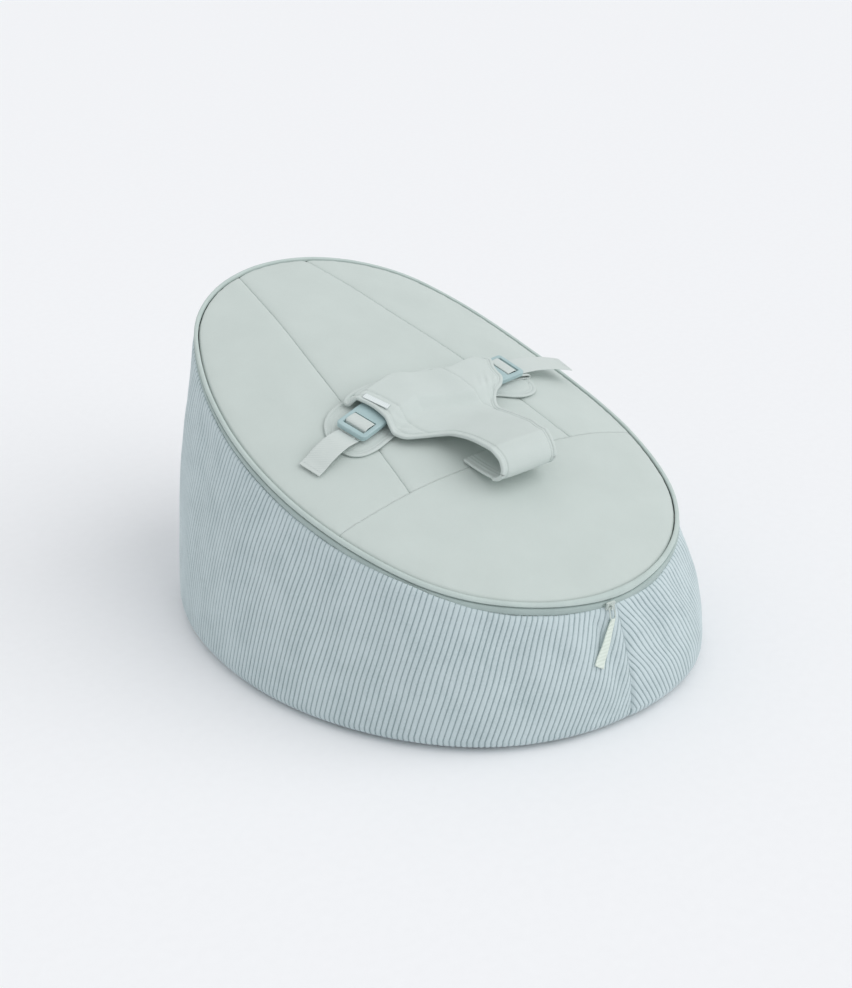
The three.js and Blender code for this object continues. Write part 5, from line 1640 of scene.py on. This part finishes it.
    def edge_path(self) -> tuple[Array, Array]:
        """Path of the bound edge, from the left loop over the top edge to the right loop.

        On the loop the binding's width lies along x, and elsewhere flat on the seat.

        Returns:
            The path's points and the direction across the binding at each.
        """
        right, left = self.edge_half(Side.RIGHT), self.edge_half(Side.LEFT)
        path = np.concatenate([left[:0:-1], right])
        ahead = unit(np.gradient(path, axis=0))
        side_dir = unit(np.cross(ahead, SEAT_UP))
        loop_rows, blur = 40, 6
        share = np.zeros(len(path))
        share[:loop_rows] = share[-loop_rows:] = 1
        spread = np.ones(2 * blur + 1) / (2 * blur + 1)
        share = np.convolve(np.pad(share, blur, mode="edge"), spread, mode="valid")[:, None]
        sign = np.sign(np.sum(side_dir * ACROSS, axis=1, keepdims=True))
        side_dir = unit(side_dir * (1 - share) + sign * ACROSS * share)
        return path, side_dir

    def root(self) -> Shell:
        """The strap's lower run, back under the loop to the cross seam, sewn in three rows."""
        places = np.linspace(self.fold_end - 0.25, 9, 60)
        w = np.linspace(-1, 1, 61)[None, :]
        half, inset = self.across_loop(places, self.insets[2], w)
        thin = self.thickness / 2 * (1 - 0.4 * np.abs(w) ** 8)
        thin = thin * listed(places, ((places[0], 0.5), (places[0] + 0.5, 1)))[:, None]
        sewn = sum(0.7 * bell(inset - line, 0.8) for line in self.root_rows)
        outer = self.loop_side(places, half, thin)
        inner = self.loop_side(places, half, -thin + sewn)
        return slab(outer, inner, stacked(half, places[:, None] * 10) * MM)

    def build(self) -> None:
        """Makes the cloth, its binding and the strap's root."""
        end = self.tub.over(0, *self.loop_points[int(self.fold_end)]) * MM
        cloth = make_piece("harness_cloth", self.cloth(), HARNESS_JERSEY)
        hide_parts("harness_front", "crotch_strap_fold")
        path, side = self.edge_path()
        tape = sweep(path, oval_outline(*self.binding, 14, 0.75), side)
        binding = make_piece("harness_bound_edge", tape, HARNESS_JERSEY)
        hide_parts("harness_binding")
        for piece in (cloth, binding):
            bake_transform(piece)
        stand_in(make_piece("strap_root", self.root(), HARNESS_JERSEY),
                 "crotch_strap_root", Body.LOUNGER.value)


# Buckles, pads and webbing


SMALLER_PAD = (
    (58, 146, 58, 88), (80, 148, 80, 84), (97, 148.5, 98, 77), (112, 146.5, 114, 74),
    (126, 140, 130, 76), (138, 129, 141.5, 83), (145.5, 117, 147, 94), (148, 108, 148.2, 102))


@dataclass
class HarnessSide:
    """Guard pad, buckle and webbing of one side.

    Attributes:
        harness: the T that it belongs to.
        side: left or right.
        buckle_x: distance of the buckle's mouth from the middle.
        buckle_y: its place from the cross seam.
        buckle_turn: its turn in the seat's surface, in radians, the same way on both sides.
        pad_rows: cross rows of the pad, each with its head end and its foot end as distances from
            the middle and from the cross seam.
        pad_lift: height of its underside over the seat.
        pad_thickness: its thickness.
        web_width: width of the webbing.
        web: thickness of the webbing.
        tail_length: length of the loose end.
        tail_lean: tangent of its lean in the seat's surface.
        tail_heights: its heights over the buckle's own plane, at five places along it.
        on_pad: height of the buckle's own plane over the seat.
        frame_width: width of the buckle's frame.
        plug_length: distance from the buckle's mouth to the plug's outer end.
        plug_top: height of the plug's top over the buckle's own plane.
        pad_in: distance in from the pad's outline of its cloth's edge.
        pad_line: depth, distance from the cloth's edge and width of its stitched line.
        pad_binding: width and height of its bound edge.
        pad_binding_in: distance in from the pad's outline of the bound edge's middle.
        load_ends: distances from the buckle's mouth of the load webbing's upper end and of the
            place where it lies flat again beneath.
        load_run: distance from the buckle's mouth, along its turn, of the load webbing's middle.
        load_seam: distance of the load webbing's end, in the long seam, from the middle.
    """

    harness: Harness
    side: Side
    buckle_x: float = 79
    buckle_y: float = 111
    buckle_turn: float = np.radians(12)
    pad_rows: Table = (
        (58, 150, 58, 83), (80, 151.5, 80, 77), (99, 152, 99, 72), (114, 151, 119, 68),
        (130, 145, 137, 69.5), (143.5, 133.5, 149, 78), (151.5, 119.5, 153.5, 90),
        (154.6, 108, 154.9, 101))
    pad_lift: float = 1.9
    pad_thickness: float = 2.6
    web_width: float = 30
    web: float = 1.2
    tail_length: float = 62
    tail_lean: float = 0.0
    tail_heights: tuple[float, ...] = (2.1, 5.2, 2.2, -3.8, -6.6)
    on_pad: float = 6.6
    frame_width: float = 42
    plug_length: float = 56
    plug_top: float = 10.0
    pad_in: float = 2.6
    pad_line: tuple[float, float, float] = (0.8, 7.5, 1.3)
    pad_binding: Pair = (5.4, 2.7)
    pad_binding_in: float = 2.4
    load_ends: Pair = (30.5, 28)
    load_run: float = 31.6
    load_seam: float = 105.2

    def __post_init__(self) -> None:
        """Works out the buckle's frame: x out of the socket's mouth and z up from the pad."""
        tub, sign = self.harness.tub, self.side.value
        y = self.harness.seam_y + self.buckle_y
        turn = sign * self.buckle_turn
        c, s = np.cos(turn), np.sin(turn)
        mouth = tub.over(sign * self.buckle_x, y, self.on_pad)
        outer = tub.over(sign * (self.buckle_x + self.plug_length * c),
                         y + self.plug_length * s, self.on_pad)
        head = tub.over(sign * (self.buckle_x - self.frame_width * s),
                        y + self.frame_width * c, self.on_pad)
        x_axis = unit(outer - mouth)
        z_axis = unit(np.cross(x_axis, head - mouth) * sign)
        self.origin = mouth
        self.axes = np.stack([x_axis, np.cross(z_axis, x_axis), z_axis])

    def placed(self, local: Array) -> Array:
        """Points of the buckle's frame as points of the lounger."""
        return self.origin + local @ self.axes

    def web_piece(self, name: str, profile: Array, count: int, node: str, lean: float = 0.0,
                  stitch: bool = False) -> None:
        """A run of webbing along a side profile, with its material and place.

        Args:
            name: the piece's name, without the side.
            profile: places of the side profile in the buckle's frame, x and z.
            count: number of rows.
            node: CAD node that it stands for, without the side.
            lean: how far it leans sideways for each step outwards.
            stitch: whether a row of stitches crosses its end.
        """
        line = through(profile, np.linspace(0, len(profile) - 1, count))
        local = stacked(line[:, 0], lean * np.maximum(0, line[:, 0] - profile[0, 0]), line[:, 1])
        path = self.placed(local)
        shell = sweep(path, self.web_outline(), self.axes[1])
        if stitch:
            across = np.linspace(-0.42, 0.42, 20)[:, None] * self.web_width
            row = local[-7] + across * AHEAD + np.array([0, 0, self.web * 0.6])
            shell = shell.joined(stitches(self.placed(row), self.axes[0]))
        self.finish(name, shell, STRAP_WEBBING, "webbing", node)

    def finish(self, name: str, shell: Shell, finish: Finish, slot: str, node: str,
               fill: float = 0.0) -> None:
        """Makes one piece of this side and lets it take its CAD node's place on its body."""
        node = f"{node}_{self.side.word}"
        stand_in(make_piece(f"{name}_{self.side.word}", shell, finish), node, body_of(node))

    def web_outline(self) -> Array:
        """Cross-section of the webbing: flat, with rounded edges."""
        return oval_outline(self.web_width, self.web, 20, 0.35)

    def pad_outline(self, count: int) -> tuple[Array, Array]:
        """Head and foot halves of the pad's outline, from the inner end to the tip."""
        rows = through(np.array(self.pad_rows), np.linspace(0, len(self.pad_rows) - 1, count))
        return rows[:, :2], rows[:, 2:]

    def pad(self) -> Shell:
        """Guard pad: cross rows from its inner end to its round tip, crowned over its wadding."""
        head, foot = self.pad_outline(54)
        w = np.sin(np.linspace(-1, 1, 41) * np.pi / 2)[None, :, None]
        middle, half = (head + foot) / 2, (head - foot) / 2
        at = middle[:, None] + half[:, None] * w
        rim = np.concatenate([head, foot[::-1]])
        inset = np.min(np.linalg.norm(at[:, :, None] - rim[None, None], axis=-1), axis=-1)
        draw = np.clip(self.pad_in / np.maximum(inset, self.pad_in), 0, 1)[..., None]
        centre = middle[len(middle) // 2]
        at = at + unit(centre - at) * self.pad_in * draw * (np.abs(w) > 0.5)
        depth, place, width = self.pad_line
        puff = self.pad_thickness * (0.7 + 0.35 * (1 - fading(inset, 8)))
        puff = puff - depth * bell(inset - place, width)
        tub, sign = self.harness.tub, self.side.value
        x, y = sign * at[..., 0], self.harness.seam_y + at[..., 1]
        top = tub.over(x, y, self.pad_lift + puff)
        low = tub.over(x, y, self.pad_lift + 0 * puff)
        return slab(top, low, at * MM)

    def pad_edge(self) -> Shell:
        """Bound edge of the pad: a flattened round carried along its outline."""
        head, foot = self.pad_outline(60)
        line = np.concatenate([foot, head[::-1]])
        line = through(line[::4], np.linspace(0, len(line[::4]) - 1, 110))
        ahead = unit(np.gradient(line, axis=0))
        line = line + stacked(-ahead[:, 1], ahead[:, 0]) * self.pad_binding_in
        tub, sign = self.harness.tub, self.side.value
        path = tub.over(sign * line[:, 0], self.harness.seam_y + line[:, 1],
                        self.pad_lift + self.pad_thickness / 2)
        side = unit(np.cross(np.gradient(path, axis=0), SEAT_UP))
        return sweep(path, oval_outline(*self.pad_binding, 12, 0.75), side)

    def build(self) -> None:
        """Makes the pad, its bound edge and every run of webbing of this side."""
        self.finish("guard_pad_cloth", self.pad(), HARNESS_JERSEY, "harness_cloth", "guard_pad",
                    0.5)
        self.finish("guard_pad_edge", self.pad_edge(), HARNESS_JERSEY, "harness_cloth",
                    "guard_pad_binding")
        web, top = self.web, self.plug_top
        roll = np.array([[29.3, 1.5], [29.3, top - web], [30.5, top + 0.3], [38.45, top + web],
                         [41.7, top + web], [44.3, top + 0.3], [45.5, top - web],
                         [45.8, 4.5], [47.2, 2.3], [56.2, 2.1]])
        start = self.plug_length + web
        share = np.array([0, 0.3, 0.62, 0.85, 1.0])
        tail = stacked(start + share * self.tail_length, np.array(self.tail_heights))
        loop = np.array([[-43.6, 1.75], [-41.2, 1.75], [-36.6, 1.75], [-36.0, 2.95],
                         [-36.0, 7.55], [-36.6, 8.75], [-41.2, 8.75], [-43.6, 8.75]])
        self.web_piece("webbing_over_bar", roll, 60, "webbing_roll")
        self.web_piece("webbing_end", tail, 50, "webbing_tail", self.tail_lean, True)
        self.web_piece("webbing_at_socket", loop, 40, "socket_webbing")
        self.load()

    def load(self) -> None:
        """Load-bearing webbing: over the pad, round its edge and back beneath to the seam."""
        tub, sign = self.harness.tub, self.side.value
        middle = self.pad_lift + self.pad_thickness / 2
        high, low = middle + 2.0, middle - 2.0
        out = self.pad_rows[-1][0] + 0.2
        start, flat = (self.buckle_x + end for end in self.load_ends)
        places = np.array([[start, high], [out - 2.4, high], [out + 0.9, high - 0.6],
                           [out + 1.5, high - 1.8], [out + 1.5, self.pad_lift],
                           [out + 0.9, low + 0.6], [out - 2.4, low], [flat, low],
                           [self.load_seam, low]])
        line = through(places, np.linspace(0, len(places) - 1, 70))
        y = self.harness.seam_y + self.buckle_y + self.load_run * np.sin(sign * self.buckle_turn)
        path = tub.over(sign * line[:, 0], y, line[:, 1])
        shell = sweep(path, self.web_outline(), AHEAD)
        self.finish("webbing_to_seam", shell, STRAP_WEBBING, "webbing", "webbing_load")


@dataclass
class Label:
    """Bare woven label sewn along the edge of the left wing.

    Attributes:
        harness: the T that it is sewn to.
        length: its length.
        width: its width.
        x: distance of its middle from the lounger's middle, to the left.
        y: place of its middle from the cross seam.
        turn: its turn from lengthwise, in radians.
        own_lift: lift that the wing has there away from the sockets.
    """

    harness: Harness
    length: float = 33
    width: float = 8
    x: float = 86
    y: float = 109
    turn: float = np.radians(22)
    own_lift: float = 8

    def build(self) -> None:
        """Makes the label as a thin rounded sheet over the wing."""
        u = np.linspace(-0.5, 0.5, 26)[:, None] * self.length
        v = np.linspace(-0.5, 0.5, 9)[None, :] * self.width
        x = -self.x - u * np.sin(self.turn) + v * np.cos(self.turn)
        y = self.harness.seam_y + self.y + u * np.cos(self.turn) + v * np.sin(self.turn)
        lift = self.harness.lift(x, y, self.own_lift) + self.harness.thickness * 1.08 + 0.4
        worn = 0.15 * ripple(u + v, 14, 0.5)
        top = self.harness.tub.over(x, y, lift + 0.6 + worn)
        low = self.harness.tub.over(x, y, lift + worn)
        piece = make_piece("bare_label", slab(top, low, stacked(u, v) * MM), LABEL_SATIN)
        stand_in(piece, "harness_label", Body.HARNESS.value)


# CAD nodes that stay


# How much lower than the seat's cloth the inner copies hang, in millimetres
HUNG_GAP = 1.5
# Heights over the floor at which they start to hang and hang fully, in millimetres
HUNG_HEIGHTS = (60, 190)


def soften(node: str, radius: float) -> None:
    """Stands a copy of a moulded CAD node in its place, with every sharp edge rounded off.

    Args:
        node: the CAD node.
        radius: radius of the rounding in millimetres.
    """
    mesh = copied(node, f"moulded_{node}", 0.02)
    mesh.shade_smooth()
    piece = shown(mesh.name, mesh, BUCKLE_ACETAL)
    rounding = piece.modifiers.new("rounding", "BEVEL")
    rounding.width = radius * MM
    rounding.segments = 3
    rounding.limit_method = "ANGLE"
    rounding.angle_limit = np.radians(35)
    rounding.harden_normals = True
    stand_in(piece, node, body_of(node))


def hung(tub: Tub, node: str, finish: Cloth) -> None:
    """Stands a copy of an inner CAD node in its place, let down under the slack right edge.

    Args:
        tub: the shape that says how far the edge hangs.
        node: the CAD node.
        finish: its material.
    """
    mesh = copied(node, f"hung_{node}")
    points = np.empty(len(mesh.vertices) * 3, np.float32)
    mesh.vertices.foreach_get("co", points)
    points = points.reshape(-1, 3)
    x, y, z = (points / MM).T
    drop = tub.hang(x, tub.coordinate(y)) + HUNG_GAP
    points[:, 2] -= drop * smooth(z, *HUNG_HEIGHTS) * MM
    mesh.vertices.foreach_set("co", points.reshape(-1))
    stand_in(shown(mesh.name, mesh, finish), node, body_of(node))


def dress_nodes(tub: Tub) -> None:
    """Gives every CAD node that stays its material.

    Args:
        tub: the shape of the lounger.
    """
    for node, finish, slot in (("seat_wadding", WADDING, "wadding"),
                               ("liner_top", LINER_CALICO, "liner_cloth"),
                               ("liner_wall", LINER_CALICO, "liner_cloth"),
                               ("bead_fill", BEADS, "beads")):
        hung(tub, node, finish)
    finishes = {
        "liner_base": LINER_CALICO, "liner_zip_tape": ZIP_TAPE,
        "liner_zip_coil": ZIP_COIL, "liner_zip_slider": SLIDER_LACQUER,
        "zip_slider": SLIDER_LACQUER, "zip_stop": ZIP_COIL, "zip_bail": SLIDER_LACQUER}
    for side in Side:
        for part, radius in (("socket", 0.5), ("plug", 0.9), ("prong_head", 0.4),
                             ("prong_foot", 0.4)):
            soften(f"buckle_{part}_{side.word}", radius)
    for node, finish in finishes.items():
        mesh = frame["nodes"][node].data
        mesh.materials.clear()
        mesh.materials.append(finish.material())
        log.info("%s keeps its CAD shape", node)


# Studio


@dataclass
class Studio:
    """Plain pale floor, soft light and the photograph's camera.

    Attributes:
        eye: place of the camera.
        target: what it looks at.
        lens: focal length for a frame 36 mm high.
        pale: sRGB colour of floor and sky.
        sky: strength of the sky.
        lamps: far soft lamps, each with its direction, its spread in degrees and its strength.
    """

    eye: tuple[float, float, float] = (-1.18612, -1.43837, 1.06860)
    target: tuple[float, float, float] = (-0.02766, -0.02135, 0.16799)
    lens: float = 61.94
    pale: str = "F2F3F5"
    sky: float = 0.62
    lamps: tuple[tuple[tuple[float, float, float], float, float], ...] = (
        ((1.5, -1.9, 2.3), 70.0, 1.36), ((-0.3, 1.0, 2.6), 90.0, 0.4),
        ((-2.2, -0.5, 1.3), 90.0, 0.26))

    def build(self) -> None:
        """Makes camera, sky, lamps and floor."""
        scene = bpy.context.scene
        scene.view_settings.view_transform = "Standard"
        data = bpy.data.cameras.new("photo_camera")
        data.lens = self.lens
        data.sensor_fit = "VERTICAL"
        data.sensor_height = 36
        camera = bpy.data.objects.new("photo_camera", data)
        camera.location = self.eye
        look = Vector(self.target) - Vector(self.eye)
        camera.rotation_euler = look.to_track_quat("-Z", "Y").to_euler()
        scene.collection.objects.link(camera)
        scene.camera = camera
        world = bpy.data.worlds.new("studio_sky")
        world.use_nodes = True
        back = world.node_tree.nodes["Background"]
        back.inputs[0].default_value = colour(self.pale)
        back.inputs[1].default_value = self.sky
        scene.world = world
        for number, (place, spread, strength) in enumerate(self.lamps):
            light = bpy.data.lights.new(f"soft_lamp_{number}", "SUN")
            light.energy = strength
            light.angle = np.radians(spread)
            lamp = bpy.data.objects.new(f"soft_lamp_{number}", light)
            lamp.location = place
            aim = Vector((0, 0, 0.2)) - Vector(place)
            lamp.rotation_euler = aim.to_track_quat("-Z", "Y").to_euler()
            scene.collection.objects.link(lamp)
        self.floor()

    def floor(self) -> None:
        """Makes the floor: one large sheet just under the lounger."""
        size = 9.0
        mesh = bpy.data.meshes.new("studio_floor")
        corners = np.array([[-1, -1, 0], [1, -1, 0], [1, 1, 0], [-1, 1, 0]]) * size
        corners[:, 2] = -0.0002
        mesh.from_pydata(corners, [], [[0, 1, 2, 3]])
        paint = Hard("studio_paper", "F4F5F7", "F3F4F6", roughness=0.9, grain=4.0, depth=0.0)
        mesh.materials.append(paint.material())
        floor = bpy.data.objects.new("studio_floor", mesh)
        bpy.context.scene.collection.objects.link(floor)


def main() -> None:
    """Builds the studio and every sub-assembly in order."""
    logging.basicConfig(level=logging.INFO, format="%(name)s: %(message)s")
    Studio().build()
    tub = Tub()
    CorduroyWall(tub).build()
    seat = Seat(tub)
    seat.build()
    Rim(tub).build()
    ZipPull().build()
    harness = Harness(seat)
    harness.build()
    HarnessSide(harness, Side.LEFT, tail_length=68).build()
    HarnessSide(harness, Side.RIGHT, pad_rows=SMALLER_PAD, tail_length=89,
                tail_lean=-float(np.tan(np.radians(15))),
                tail_heights=(2.1, 4.0, 2.0, -1.6, -4.6)).build()
    Label(harness).build()
    dress_nodes(tub)


if __name__ == "__main__":
    main()
